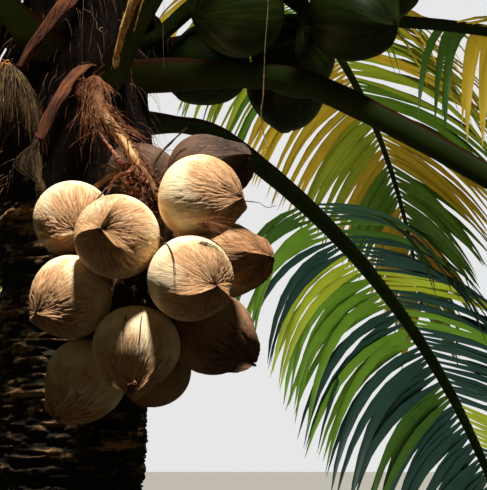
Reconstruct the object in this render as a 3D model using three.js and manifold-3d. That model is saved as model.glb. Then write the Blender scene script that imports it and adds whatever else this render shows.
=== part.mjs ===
// A coconut palm in fruit. A ringed trunk leans up from its swollen foot into a crown of arching
// fronds. A bunch of ripe brown nuts hangs in front of the trunk, each nut on its own branchlet,
// and green bunches, dry stalks and fibre hang among the leaf bases.
// Millimetres, +Z up. The origin is the middle of the flat cut at ground level. The ripe bunch hangs
// on the -Y side, a little towards +X.
import * as THREE from "three";
import { mergeVertices } from "three/addons/utils/BufferGeometryUtils.js";
import Module from "manifold-3d";

const wasm = await Module();
wasm.setup();

// Driving sizes
const GAP = 0.35; // between a piece and what carries it
const BARK_TOP = 3260; // where the leaf bases begin
const STEM_TIP = 4300; // the growing tip, deep inside the crown
const LEAN = 180; // how far the crown stands to +X of the foot
const TRUNK_RADIUS = 189;
const FLARE = 132; // added to the radius at the ground
const FLARE_HEIGHT = 260;
const SCARS = 14; // leaf scars that ring the bark
const SCAR_RELIEF = 5;
const TRUNK_SIDES = 14;

const FRONDS = 23;
const DIVERGENCE = 137.5; // degrees from each frond to the next younger one
const FIRST_BEARING = 53.75;
const LOWEST_FROND = 3440;
const FROND_RISE = 25; // each frond leaves the stem this much above the last
const FROND_LENGTH = 3900;
const PETIOLE_SHARE = 0.3; // of the frond's length, bare of leaflets
const LEAFLET_PAIRS = 8;
const LEAFLET_LENGTH = 900;
const LEAF_THICKNESS = 10;

const NUT_RADIUS = 94;
const NUT_NOSE = 1.14; // nose and stem ends, as shares of the radius
const NUT_FOOT = 0.95;
const GREEN_RADIUS = 109;
const STALK_RADIUS = 16;
const BRANCHLET_RADIUS = 6;

// Helpers
const rad = THREE.MathUtils.degToRad;
const mix = THREE.MathUtils.lerp;
const ease = THREE.MathUtils.smoothstep;
const UP = new THREE.Vector3(0, 0, 1);
const point = (x, y, z) => new THREE.Vector3(x, y, z);
const heading = (bearing, lift = 0) =>
  point(
    Math.cos(rad(bearing)) * Math.cos(rad(lift)),
    Math.sin(rad(bearing)) * Math.cos(rad(lift)),
    Math.sin(rad(lift)),
  );

// A fixed number from -1 to 1 for each index, the same on every run.
function jitter(index, salt) {
  const wave = Math.sin(index * 12.9898 + salt * 78.233) * 43758.5453;
  return 2 * (wave - Math.floor(wave)) - 1;
}

function solidOf(geometry) {
  const bare = geometry.clone();
  bare.deleteAttribute("normal");
  bare.deleteAttribute("uv");
  const merged = mergeVertices(bare, 1e-3);
  return new wasm.Manifold(
    new wasm.Mesh({
      numProp: 3,
      vertProperties: new Float32Array(merged.getAttribute("position").array),
      triVerts: new Uint32Array(merged.index.array),
    }),
  );
}

function geometryOf(solid) {
  const mesh = solid.getMesh();
  return new THREE.BufferGeometry()
    .setAttribute("position", new THREE.BufferAttribute(mesh.vertProperties, 3))
    .setIndex(new THREE.BufferAttribute(mesh.triVerts, 1));
}

function indexed(points, faces) {
  return new THREE.BufferGeometry()
    .setFromPoints(points)
    .setIndex(faces.flat());
}

// A closed tapering limb along a curve. size(t) is [half width, half depth] at a share of its length.
function limb(curve, size, sides, steps) {
  const shape = new THREE.CylinderGeometry(1, 1, 1, sides, steps);
  const frames = curve.computeFrenetFrames(steps);
  const places = shape.getAttribute("position");
  for (let i = 0; i < places.count; i++) {
    const step = Math.round((places.getY(i) + 0.5) * steps);
    const [width, depth] = size(step / steps);
    const place = curve
      .getPointAt(step / steps)
      .addScaledVector(frames.normals[step], places.getX(i) * width)
      .addScaledVector(frames.binormals[step], -places.getZ(i) * depth);
    places.setXYZ(i, place.x, place.y, place.z);
  }
  return solidOf(shape);
}

const curveOf = (...points) =>
  new THREE.CatmullRomCurve3(points, false, "centripetal");
const tapered = (from, to, flat = 1) => (t) => [
  mix(from, to, t),
  mix(from, to, t) * flat,
];

// Trunk
function stemAt(z) {
  const left = 1 - Math.min(z / BARK_TOP, 1);
  return point(LEAN * (1 - left ** 2.2), 0, z);
}

function stemRadius(z) {
  if (z <= BARK_TOP) return TRUNK_RADIUS + FLARE * Math.exp(-z / FLARE_HEIGHT);
  const share = (z - BARK_TOP) / (STEM_TIP - BARK_TOP);
  return mix(TRUNK_RADIUS - 6, 20, share ** 1.7);
}

// Heights and radii of the trunk's sections: each leaf scar has a lip that stands out and a groove over it.
function trunkSections() {
  const sections = [0, 80, 180].map((z) => [z, stemRadius(z)]);
  const first = 260;
  const pitch = (BARK_TOP - 60 - first) / (SCARS - 1);
  for (let i = 0; i < SCARS; i++) {
    const z = first + i * pitch + 0.18 * pitch * jitter(i, 1);
    sections.push([z, stemRadius(z) + SCAR_RELIEF]);
    sections.push([z + 0.22 * pitch, stemRadius(z) - SCAR_RELIEF]);
  }
  const crown = [0.04, 0.2, 0.4, 0.6, 0.8, 1];
  for (const share of crown) {
    const z = mix(BARK_TOP, STEM_TIP, share);
    sections.push([z, stemRadius(z)]);
  }
  return sections;
}

function trunk(clearance) {
  const sections = trunkSections();
  const last = sections.length - 1;
  const shape = new THREE.CylinderGeometry(1, 1, 1, TRUNK_SIDES, last);
  shape.rotateX(Math.PI / 2);
  const places = shape.getAttribute("position");
  for (let i = 0; i < places.count; i++) {
    const [z, radius] = sections[Math.round((places.getZ(i) + 0.5) * last)];
    const centre = stemAt(z);
    const reach = radius + clearance;
    places.setXYZ(
      i,
      centre.x + places.getX(i) * reach,
      centre.y + places.getY(i) * reach,
      z,
    );
  }
  return solidOf(shape);
}

const trunkSolid = trunk(0);
const trunkRoom = trunk(GAP);

// A limb that starts inside the stem is cut off just clear of the bark.
const offTheTrunk = (solid) => solid.subtract(trunkRoom);

// Where a stalk leaves the stem: a point well inside the bark, and one on it.
function stemSocket(bearing, z) {
  const centre = stemAt(z);
  return [
    centre.clone().addScaledVector(heading(bearing), 0.5 * stemRadius(z)),
    centre.clone().addScaledVector(heading(bearing), stemRadius(z) + 12),
  ];
}

// Fronds. Age runs from 0, the oldest and lowest, to 1, the youngest and steepest.
// `sag` is how far the leaflets hang, and `neck` how sharply the petiole gives way under the blade.
const FROND_WAYS = {
  // The heavy old frond whose petiole crosses over the fruit, and the two that hang behind it.
  2: { bearing: -21, height: 3555, lift: -2, neck: 23, arch: 50, roll: -56 },
  0: { bearing: 56, lift: 12, neck: 20, arch: 64 },
  8: { bearing: 67, arch: 96 },
  // The frond that climbs towards the viewer out of the same side.
  7: { bearing: -58, height: 3385, lift: 37, girth: 0.7 },
};

function frondOf(index) {
  const age = index / (FRONDS - 1);
  const rule = {
    bearing: FIRST_BEARING + DIVERGENCE * index + 4 * jitter(index, 2),
    lift: -18 + 102 * age ** 0.6,
    neck: 16 * (1 - age) ** 2,
    arch: 45 + 40 * Math.sin(Math.PI * Math.min(1, 1.3 * age)),
    roll: 14 * jitter(index, 3) * (1 - age),
    sag: mix(0.8, 0.25, age),
    length: FROND_LENGTH * (1 - 0.22 * age ** 2) * (1 + 0.04 * jitter(index, 4)),
    girth: mix(1, 0.5, age),
    height: LOWEST_FROND + FROND_RISE * index,
  };
  return { ...rule, ...FROND_WAYS[index] };
}

// The rib's frame at a share of its length: its centre, and the ways along, across and above it.
function ribFrames(frond, shares) {
  const STEPS = 96;
  const frames = [];
  const out = heading(frond.bearing);
  const side = UP.clone().cross(out);
  const centre = stemAt(frond.height);
  let wanted = 0;
  for (let step = 0; step <= STEPS; step++) {
    const share = step / STEPS;
    const lift = rad(
      frond.lift -
        frond.neck * ease(share, 0.1, 0.19) -
        frond.arch * share ** 1.4,
    );
    const along = out
      .clone()
      .multiplyScalar(Math.cos(lift))
      .addScaledVector(UP, Math.sin(lift));
    while (wanted < shares.length && shares[wanted] <= share + 1e-9) {
      const untwist = 1 - ease(share, PETIOLE_SHARE, PETIOLE_SHARE + 0.2);
      const turn = rad(frond.roll) * ease(share, 0.02, 0.14) * untwist;
      const across = side.clone().applyAxisAngle(along, turn);
      frames.push({
        centre: centre.clone(),
        along: along.clone(),
        across,
        above: along.clone().cross(across),
      });
      wanted++;
    }
    centre.addScaledVector(along, frond.length / STEPS);
  }
  return frames;
}

// Half width and depth of the rib: a broad base, a petiole, and a rib that thins to the tip.
function ribSize(frond, share) {
  const base = mix(70, 37, ease(share, 0.04, 0.12));
  const petiole = base - 5 * ease(share, 0.12, PETIOLE_SHARE);
  const blade = Math.max(0, (share - PETIOLE_SHARE) / (1 - PETIOLE_SHARE));
  const width = frond.girth * mix(petiole, 7, blade) + (frond.room ?? 0);
  return [width, 0.46 * width + 2];
}

// The five corners of the rib's section: a flat top, two thin edges that carry leaflets, and a keel.
function ribSection(frond, frame, share) {
  const [width, depth] = ribSize(frond, share);
  const at = (across, above) =>
    frame.centre
      .clone()
      .addScaledVector(frame.across, across)
      .addScaledVector(frame.above, above);
  const edge = depth - LEAF_THICKNESS;
  return [
    at(width, depth),
    at(width, edge),
    at(0, Math.min(edge, 0) - depth),
    at(-width, edge),
    at(-width, depth),
  ];
}

// How long a leaflet is, and how far it leans forward, at a share of the blade.
function leafletLength(frond, blade) {
  const rise = mix(0.6, 1, ease(blade, 0, 0.35));
  const fall = mix(1, 0.4, ease(blade, 0.45, 1));
  return LEAFLET_LENGTH * rise * fall * (frond.length / FROND_LENGTH);
}
const leafletAngle = (blade) => rad(mix(72, 28, blade ** 1.2));

// The way a leaflet points at a share of its own length, as its weight bends it down.
function leafletWay(frond, frame, hand, blade, share) {
  const angle = leafletAngle(blade);
  const outward = frame.along
    .clone()
    .multiplyScalar(Math.cos(angle))
    .addScaledVector(frame.across, hand * Math.sin(angle))
    .addScaledVector(frame.above, 0.18);
  const drop = frond.sag * share * (1 - 0.5 * Math.max(0, -frame.along.z));
  return outward.multiplyScalar(1 - drop).addScaledVector(UP, -drop).normalize();
}

// The middle and tip of one leaflet, from the four corners of its root.
function leafletPoints(frond, frame, hand, blade, root, length) {
  const start = root.reduce((sum, p) => sum.add(p), point(0, 0, 0)).divideScalar(4);
  const first = leafletWay(frond, frame, hand, blade, 0.35);
  const second = leafletWay(frond, frame, hand, blade, 0.95);
  const middle = start.clone().addScaledVector(first, 0.5 * length);
  const tip = middle.clone().addScaledVector(second, 0.5 * length);
  const half = root[0].distanceTo(root[1]) * 0.36;
  const thick = first.clone().cross(frame.along).normalize();
  const ring = [
    [-1, 1],
    [1, 1],
    [1, -1],
    [-1, -1],
  ].map(([x, y]) =>
    middle
      .clone()
      .addScaledVector(frame.along, x * half)
      .addScaledVector(thick, -y * 0.45 * LEAF_THICKNESS),
  );
  return [...ring, tip];
}

// A leaflet's sides, from its root's corners a to its middle's corners b and its tip.
function leafletFaces(a, b, tip) {
  const faces = [];
  for (let i = 0; i < 4; i++) {
    const j = (i + 1) % 4;
    faces.push([a[i], a[j], b[j]], [a[i], b[j], b[i]], [b[i], b[j], tip]);
  }
  return faces;
}

const LEAFLETS = Array.from({ length: LEAFLET_PAIRS }, (_, i) => {
  const pitch = (1 - PETIOLE_SHARE) / LEAFLET_PAIRS;
  const from = PETIOLE_SHARE + (i + 0.15) * pitch;
  return { from, to: from + 0.62 * pitch, blade: (i + 0.45) / LEAFLET_PAIRS };
});
const PETIOLE_STATIONS = [0, 0.05, 0.1, 0.15, 0.2];
const STATIONS = [
  ...PETIOLE_STATIONS,
  ...LEAFLETS.flatMap(({ from, to }) => [from, to]),
  1,
];

// One closed mesh: the rib's sections in turn, with a leaflet drawn out of each edge that `keeps` it.
// keeps(pair, hand) is the leaflet's length, or 0 where there is none.
function frondSolid(frond, keeps) {
  const frames = ribFrames(frond, STATIONS);
  const points = STATIONS.flatMap((s, i) => ribSection(frond, frames[i], s));
  const CORNERS = 5;
  const faces = [
    [0, 1, 2],
    [0, 2, 3],
    [0, 3, 4],
  ];
  const last = (STATIONS.length - 1) * CORNERS;
  faces.push(...faces.map(([a, b, c]) => [last + a, last + c, last + b]));
  for (let i = 0; i + 1 < STATIONS.length; i++) {
    const near = i * CORNERS;
    const far = near + CORNERS;
    const pair = (i - PETIOLE_STATIONS.length) / 2;
    for (let c = 0; c < CORNERS; c++) {
      const d = (c + 1) % CORNERS;
      const hand = c === 0 ? 1 : c === 3 ? -1 : 0;
      const length = hand && Number.isInteger(pair) ? keeps(pair, hand) : 0;
      if (length > 0) {
        const root = [near + c, far + c, far + d, near + d];
        const made = points.length;
        const { blade } = LEAFLETS[pair];
        const corners = root.map((k) => points[k]);
        points.push(
          ...leafletPoints(frond, frames[i], hand, blade, corners, length),
        );
        const ring = [made, made + 1, made + 2, made + 3];
        faces.push(...leafletFaces(root, ring, made + 4));
      } else {
        faces.push([near + c, far + c, far + d], [near + c, far + d, near + d]);
      }
    }
  }
  return solidOf(indexed(points, faces));
}

// One leaflet as a closed body by itself, to test its room before it is grown.
function leafletAlone(frond, pair, hand, length) {
  const { from, to, blade } = LEAFLETS[pair];
  const [near, far] = ribFrames(frond, [from, to]);
  const a = ribSection(frond, near, from);
  const b = ribSection(frond, far, to);
  const c = hand > 0 ? 0 : 3;
  const root = [a[c], b[c], b[c + 1], a[c + 1]];
  const points = [
    ...root,
    ...leafletPoints(frond, near, hand, blade, root, length),
  ];
  const cap = [
    [0, 2, 1],
    [0, 3, 2],
  ];
  return solidOf(
    indexed(points, [...leafletFaces([0, 1, 2, 3], [4, 5, 6, 7], 8), ...cap]),
  );
}

// Nuts. The nose points along +Z before a nut is turned to its own way.
function nutShape(radius, around, up) {
  const shape = new THREE.SphereGeometry(1, around, up).rotateX(Math.PI / 2);
  const places = shape.getAttribute("position");
  for (let i = 0; i < places.count; i++) {
    const x = places.getX(i);
    const y = places.getY(i);
    const z = places.getZ(i);
    const flat = 1 + 0.03 * Math.cos(3 * Math.atan2(y, x)) * (z > 0 ? z : 0);
    const height = z > 0 ? NUT_NOSE * z ** 1.29 : -NUT_FOOT * (-z) ** 0.91;
    places.setXYZ(i, x * flat * radius, y * flat * radius, height * radius);
  }
  return shape;
}

const turnTo = (way) => new THREE.Quaternion().setFromUnitVectors(UP, way);

function placedNut(shape, centre, way, size) {
  const placed = shape.clone();
  placed.applyMatrix4(
    new THREE.Matrix4().compose(centre, turnTo(way), point(size, size, size)),
  );
  return solidOf(placed);
}

// The ripe bunch. Each nut: [across, away, up] from the bunch's heart, its nose's bearing and lift,
// and its size. The heart hangs in front of the trunk, under the crown.
const HEART = stemAt(BARK_TOP).add(point(222, -470, 0)).setZ(3000);
const RIPE_NUTS = {
  upper_left: [-193, 64, 135, -78, -23, 0.98],
  front_left: [-68, -95, 73, -102, 1, 1],
  upper_right: [120, -84, 165, -36, -5, 1.02],
  top_right: [121, 92, 252, -14, 16, 0.97],
  front_right: [97, -128, -23, -60, -13, 1],
  far_right: [170, 118, 43, -12, 3, 0.97],
  left: [-188, 0, -50, -134, -25, 1],
  front_low: [-25, -58, -172, -98, -56, 1.02],
  lower_left: [-156, 72, -238, -151, -51, 1],
  lower_right: [152, 38, -136, -20, -36, 1],
  bottom: [-2, 188, -200, -43, -80, 0.95],
  top_back: [-53, 184, 246, 108, 47, 0.95],
  back_right: [62, 278, 112, 77, 20, 0.95],
  back_left: [-98, 207, -30, 210, -10, 0.93],
};

const ripeShape = nutShape(NUT_RADIUS, 12, 8);
function ripeNut([across, away, up, bearing, lift, size]) {
  const centre = HEART.clone().add(point(across, away, up));
  const way = heading(bearing, lift);
  return { centre, way, size };
}

// The stalk's own line: out of a leaf base, over, and down through the middle of the bunch.
const STALK_LINE = [
  point(-124, 97, 395),
  point(-50, 45, 290),
  point(-15, 38, 200),
  point(-2, 50, 100),
  point(-6, 62, 0),
  point(-12, 66, -70),
];

function ripeStalk() {
  const [inside, bark] = stemSocket(-80, 3485);
  const line = curveOf(
    inside,
    bark,
    HEART.clone().add(point(-150, 222, 497)),
    ...STALK_LINE.map((p) => HEART.clone().add(p)),
  );
  const size = (t) => {
    const r = STALK_RADIUS * mix(1.15, 0.72, t);
    return [r, r];
  };
  let solid = offTheTrunk(limb(line, size, 7, 18));
  const hang = curveOf(...STALK_LINE.map((p) => HEART.clone().add(p)));
  for (const nut of Object.values(RIPE_NUTS).map(ripeNut)) {
    const foot = nut.centre
      .clone()
      .addScaledVector(nut.way, -NUT_RADIUS * nut.size * NUT_FOOT + 4);
    const drop = THREE.MathUtils.clamp(
      (HEART.z + 300 - foot.z) / 400,
      0.22,
      0.97,
    );
    const start = hang.getPointAt(drop);
    const back = foot.clone().addScaledVector(nut.way, -28);
    const between = start.clone().lerp(back, 0.55).add(point(0, 0, 6));
    const branch = curveOf(start, between, back, foot);
    const neck = tapered(BRANCHLET_RADIUS * 1.1, BRANCHLET_RADIUS);
    const room = placedNut(ripeShape, nut.centre, nut.way, nut.size + GAP / NUT_RADIUS);
    solid = solid.add(limb(branch, neck, 5, 4).subtract(room));
  }
  return solid;
}

// A green bunch: nuts crowded about a hanging stalk, all grown into one piece. Each nut of the
// bunch: [across, away, up] from its heart, its nose's bearing and lift.
const GREEN_NUTS = [
  [121, -126, 36, -40, -20],
  [-9, 172, 20, 70, -25],
  [-148, -108, 51, -140, -15],
  [10, -60, 232, -80, 20],
  [186, 72, 170, 20, 10],
  [-120, 90, 210, 150, 30],
  [-22, 392, -10, 80, -50],
  [-226, 250, 18, 150, -20],
];

function greenBunch({ bearing, height, heart, turn, nuts }) {
  const [inside, bark] = stemSocket(bearing, height);
  const line = curveOf(
    inside,
    bark,
    bark.clone().lerp(heart, 0.6).setZ(Math.max(bark.z, heart.z + 120) + 70),
    heart.clone().add(point(0, 0, 120)),
    heart.clone().add(point(0, 0, -20)),
  );
  let solid = offTheTrunk(limb(line, tapered(22, 15), 6, 10));
  const shape = nutShape(GREEN_RADIUS, 9, 7);
  const reach = 0.6 * GREEN_RADIUS;
  for (const [across, away, up, noseBearing, lift] of GREEN_NUTS.slice(0, nuts)) {
    const offset = point(across, away, up).applyAxisAngle(UP, rad(turn));
    const centre = heart.clone().add(offset);
    const way = heading(noseBearing + turn, lift);
    const hub = heart.clone().add(point(0, 0, THREE.MathUtils.clamp(up, -10, 90)));
    const foot = centre.clone().addScaledVector(way, -reach);
    solid = solid
      .add(limb(curveOf(hub, foot), tapered(9, 9), 5, 1))
      .add(placedNut(shape, centre, way, 1));
  }
  return solid;
}

const GREEN_BUNCHES = {
  green_bunch_right: {
    bearing: -14,
    height: 3640,
    heart: stemAt(BARK_TOP).add(point(569, -230, 0)).setZ(3595),
    turn: 0,
    nuts: 8,
  },
  green_bunch_back: {
    bearing: 132,
    height: 3450,
    heart: stemAt(BARK_TOP).add(point(-355, 394, 0)).setZ(3210),
    turn: 132,
    nuts: 6,
  },
};

// Dry pieces: [bearing and height on the stem, then points from the stem's middle, sizes and flatness].
const DRY_STALKS = {
  dry_stalk_low: {
    socket: [-92, 3530],
    line: [point(20, -250, 3528), point(-12, -274, 3410), point(-60, -262, 3272)],
    from: 15,
    to: 11,
    flat: 0.5,
  },
  dry_stalk_high: {
    socket: [-88, 3675],
    line: [point(-10, -240, 3678), point(-60, -262, 3610), point(-113, -250, 3537)],
    from: 16,
    to: 11,
    flat: 0.55,
  },
};

const dryLine = ({ socket, line }) =>
  curveOf(
    ...stemSocket(...socket),
    ...line.map((p) => p.clone().add(stemAt(BARK_TOP).setZ(0))),
  );
const dryStalk = (row) =>
  offTheTrunk(limb(dryLine(row), tapered(row.from, row.to, row.flat), 6, 9));

// A hank of loose fibre that carries on from a dry stalk's end and hangs.
function fibreHank(stalk, length, width) {
  const line = dryLine(DRY_STALKS[stalk]);
  const way = line.getTangentAt(1);
  const tip = line.getPointAt(1);
  const path = curveOf(
    tip.clone().addScaledVector(way, GAP),
    tip.clone().addScaledVector(way, 14),
    tip.clone().addScaledVector(way, 22).add(point(2, 0, -0.4 * length)),
    tip.clone().addScaledVector(way, 24).add(point(8, 4, -length)),
  );
  const size = (t) => {
    const spread = width * (0.35 + 0.65 * Math.sin(Math.PI * (0.08 + 0.86 * t)));
    return [spread, 0.8 * spread];
  };
  return limb(path, size, 7, 6);
}

// A torn strip of dry leaf that hangs from the edge of the climbing frond's petiole.
const STRAP_FROND = 7;
const STRAP_SHARE = 0.136;
function dryStrap() {
  const frond = frondOf(STRAP_FROND);
  const [frame] = ribFrames(frond, [STRAP_SHARE]);
  const [width] = ribSize(frond, STRAP_SHARE);
  const edge = frame.centre.clone().addScaledVector(frame.across, -0.75 * width);
  const path = curveOf(
    edge,
    edge.clone().add(point(-22, -16, 4)),
    edge.clone().add(point(-45, -26, -32)),
    edge.clone().add(point(-66, -22, -100)),
    edge.clone().add(point(-80, -14, -178)),
  );
  const room = frondSolid({ ...frond, room: GAP }, () => 0);
  return limb(path, tapered(5, 14), 6, 9).subtract(room);
}

// The leaf that has not yet opened stands on the growing tip.
function spear() {
  const foot = stemAt(STEM_TIP).add(point(0, 0, GAP));
  const path = curveOf(
    foot,
    foot.clone().add(point(8, 6, 700)),
    foot.clone().add(point(40, 25, 1750)),
  );
  return limb(path, (t) => [mix(19, 5, t ** 2), mix(19, 5, t ** 2)], 7, 6);
}

// Everything but the fronds, so that leaflets can be kept out of its way
const solids = new Map();
solids.set("trunk", trunkSolid);
for (const [place, row] of Object.entries(RIPE_NUTS)) {
  const { centre, way, size } = ripeNut(row);
  solids.set("nut_" + place, placedNut(ripeShape, centre, way, size));
}
solids.set("bunch_stalk", ripeStalk());
for (const [name, row] of Object.entries(GREEN_BUNCHES))
  solids.set(name, greenBunch(row));
for (const [name, row] of Object.entries(DRY_STALKS))
  solids.set(name, dryStalk(row));
solids.set("fibre_hank_low", fibreHank("dry_stalk_low", 90, 24));
solids.set("fibre_hank_high", fibreHank("dry_stalk_high", 130, 48));
solids.set("dry_strap", dryStrap());
solids.set("spear", spear());

// Growing the fronds: every rib first, then the leaflets that find room, oldest frond first.
const CLEAR = 6;
const boxOf = (solid) => {
  const { min, max } = solid.boundingBox();
  return new THREE.Box3(point(...min), point(...max)).expandByScalar(CLEAR);
};
const fronds = Array.from({ length: FRONDS }, (_, i) => frondOf(i));
const ribs = fronds.map((frond) => offTheTrunk(frondSolid(frond, () => 0)));
const others = [...solids.values()].map((solid) => ({ solid, box: boxOf(solid), owner: -1 }));
ribs.forEach((solid, owner) => others.push({ solid, box: boxOf(solid), owner }));

function hasRoom(solid, frondIndex) {
  const box = boxOf(solid);
  return !others.some(
    (other) =>
      other.owner !== frondIndex &&
      other.box.intersectsBox(box) &&
      other.solid.minGap(solid, CLEAR) < CLEAR,
  );
}

const SHORTER = [1, 0.8, 0.6, 0.42];
function grownFrond(frond, index) {
  const lengths = new Map();
  LEAFLETS.forEach(({ blade }, pair) => {
    for (const hand of [1, -1]) {
      const full = leafletLength(frond, blade) * (1 + 0.06 * jitter(pair, index + hand));
      for (const share of SHORTER) {
        const alone = leafletAlone(frond, pair, hand, share * full);
        if (!hasRoom(alone, index)) continue;
        lengths.set(pair + "," + hand, share * full);
        others.push({ solid: alone, box: boxOf(alone), owner: FRONDS + index * 100 + pair });
        break;
      }
    }
  });
  const keeps = (pair, hand) => lengths.get(pair + "," + hand) ?? 0;
  return offTheTrunk(frondSolid(frond, keeps));
}

fronds.forEach((frond, i) =>
  solids.set("frond_" + String(i + 1).padStart(2, "0"), grownFrond(frond, i)),
);

// The palm as a scene graph
const colour = (hex, roughness) =>
  new THREE.MeshStandardMaterial({ color: hex, roughness, metalness: 0 });
const MATERIALS = {
  bark: colour(0x3b2d22, 0.95),
  leaf: colour(0x4f7a2a, 0.55),
  ripe_husk: colour(0xb98d62, 0.75),
  green_husk: colour(0x46672a, 0.45),
  dry_stalk: colour(0x9c6a3f, 0.85),
  fibre: colour(0x8a6a45, 0.95),
};
const finishOf = (name) => {
  if (name === "trunk") return MATERIALS.bark;
  if (name.startsWith("nut_")) return MATERIALS.ripe_husk;
  if (name.startsWith("green_")) return MATERIALS.green_husk;
  if (name.startsWith("fibre_")) return MATERIALS.fibre;
  if (name.endsWith("stalk") || name.startsWith("dry_")) return MATERIALS.dry_stalk;
  return MATERIALS.leaf;
};

const palm = new THREE.Group();
for (const [name, solid] of solids) {
  const mesh = new THREE.Mesh(geometryOf(solid), finishOf(name));
  mesh.name = name;
  palm.add(mesh);
}

export default palm;
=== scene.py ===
# %% [markdown]
# # A coconut palm in fruit
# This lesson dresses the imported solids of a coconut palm: a ringed trunk, a crown of arching
# fronds, and a bunch of ripe nuts that hangs in front of the trunk.
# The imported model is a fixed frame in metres. Each finished piece stands where the plain solid
# that it replaces stands, so the first step is to load that frame and to keep its size.

# %% Load the frame
import math

import bpy
import numpy as np
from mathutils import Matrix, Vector


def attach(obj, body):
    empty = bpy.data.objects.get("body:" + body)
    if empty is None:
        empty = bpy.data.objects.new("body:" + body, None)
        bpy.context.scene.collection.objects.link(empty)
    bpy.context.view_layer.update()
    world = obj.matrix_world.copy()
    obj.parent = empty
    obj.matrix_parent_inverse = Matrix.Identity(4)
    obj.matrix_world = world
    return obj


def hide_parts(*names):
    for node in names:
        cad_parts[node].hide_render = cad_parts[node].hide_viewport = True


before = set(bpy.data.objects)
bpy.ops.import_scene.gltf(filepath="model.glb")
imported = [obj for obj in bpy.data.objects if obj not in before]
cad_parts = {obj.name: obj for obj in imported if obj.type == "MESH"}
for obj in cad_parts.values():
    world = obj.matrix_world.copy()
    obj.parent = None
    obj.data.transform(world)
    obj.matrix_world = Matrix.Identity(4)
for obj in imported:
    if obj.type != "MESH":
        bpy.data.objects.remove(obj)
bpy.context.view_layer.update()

frond_nodes = sorted(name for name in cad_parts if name.startswith("frond_"))
print("solids:", len(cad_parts), "of them fronds:", len(frond_nodes))

# %% [markdown]
# ## Camera
# The view is a close one: it looks slightly up at the bunch from about three and a half metres,
# through a long lens. A long lens keeps the nuts round and flattens the leaves behind them.
# The camera comes first, because every later choice of detail follows from how near it stands.

# %% Camera
LENS = 111.7
CAMERA_PLACE = (0.611, -3.846, 2.5932)
CAMERA_TILT = 98  # degrees from straight down, so eight above the horizon

scene = bpy.context.scene
camera_data = bpy.data.cameras.new("view")
camera_data.lens = LENS
camera_data.sensor_width = 36
camera = bpy.data.objects.new("view", camera_data)
camera.location = CAMERA_PLACE
camera.rotation_euler = (math.radians(CAMERA_TILT), 0, 0)
scene.collection.objects.link(camera)
scene.camera = camera
print("camera at", CAMERA_PLACE)

# %% [markdown]
# ## Small helpers for numbers
# Plants are built by rules, so most places in this lesson are worked out and not typed in.
# `jitter` gives each leaf or nut its own fixed number, the same on every run. `ease` is a smooth
# step, and `heading` turns a compass bearing and a lift into a direction.

# %% Number helpers
UP = np.array([0.0, 0.0, 1.0])


def jitter(index, salt):
    wave = np.sin(index * 12.9898 + salt * 78.233) * 43758.5453
    return 2 * (wave - np.floor(wave)) - 1


def mix(a, b, t):
    return a + (b - a) * t


def ease(x, low, high):
    t = np.clip((x - low) / (high - low), 0, 1)
    return t * t * (3 - 2 * t)


def heading(bearing, lift=0.0):
    b, e = np.broadcast_arrays(np.radians(bearing), np.radians(lift))
    return np.stack([np.cos(b) * np.cos(e), np.sin(b) * np.cos(e), np.sin(e)], -1)


def around(turn):
    """Level directions at shares of a full turn."""
    angle = 2 * np.pi * turn
    return np.stack([np.cos(angle), np.sin(angle), 0 * turn], -1)


def unit(v):
    return v / np.maximum(np.linalg.norm(v, axis=-1, keepdims=True), 1e-12)


def dot(a, b):
    return np.sum(a * b, axis=-1, keepdims=True)


def turned(v, axis, angle):
    """v turned about a unit axis by an angle in radians."""
    c = np.cos(angle)
    return v * c + np.cross(axis, v) * np.sin(angle) + axis * dot(axis, v) * (1 - c)


print("jitter of the first frond:", round(float(jitter(0, 2)), 4))

# %% [markdown]
# ## From numbers to meshes
# A big mesh is quick to make when whole arrays are handed over at once. `Heap` gathers the points
# and faces of many small shapes, such as leaflets, into one mesh, and `show` makes the piece, lets
# it ride on the palm, and hides the plain solids that it stands for.

# %% Mesh helpers
class Heap:
    """Points, faces and per-point marks of many shapes that will be one mesh."""

    def __init__(self):
        self.points = []
        self.faces = []
        self.marks = {}
        self.count = 0

    def add(self, points, faces, **marks):
        points = np.asarray(points, float).reshape(-1, 3)
        self.points.append(points)
        self.faces.extend(np.asarray(part) + self.count for part in faces)
        for name, values in marks.items():
            values = np.asarray(values, float)
            size = (len(points), 3) if values.shape[-1:] == (3,) else (len(points),)
            self.marks.setdefault(name, []).append(np.broadcast_to(values, size))
        self.count += len(points)


def grid_faces(rows, columns, wrap=True):
    """Quads between the rows of a grid of points. With wrap, each row is a closed ring."""
    r = np.arange(rows - 1)[:, None] * columns
    c = np.arange(columns if wrap else columns - 1)[None, :]
    d = (c + 1) % columns
    return np.stack([r + c, r + d, r + columns + d, r + columns + c], -1).reshape(-1, 4)


def closed_faces(rows, columns):
    """A grid of rings that is closed at both ends."""
    first = np.arange(columns)[None, ::-1]
    last = (rows - 1) * columns + np.arange(columns)[None, :]
    return [grid_faces(rows, columns), first, last]


def repeated(faces, copies, points):
    """Faces for many copies of a shape, each with the given number of points."""
    return [(faces[None] + np.arange(copies)[:, None, None] * points).reshape(-1, 4)]


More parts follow.
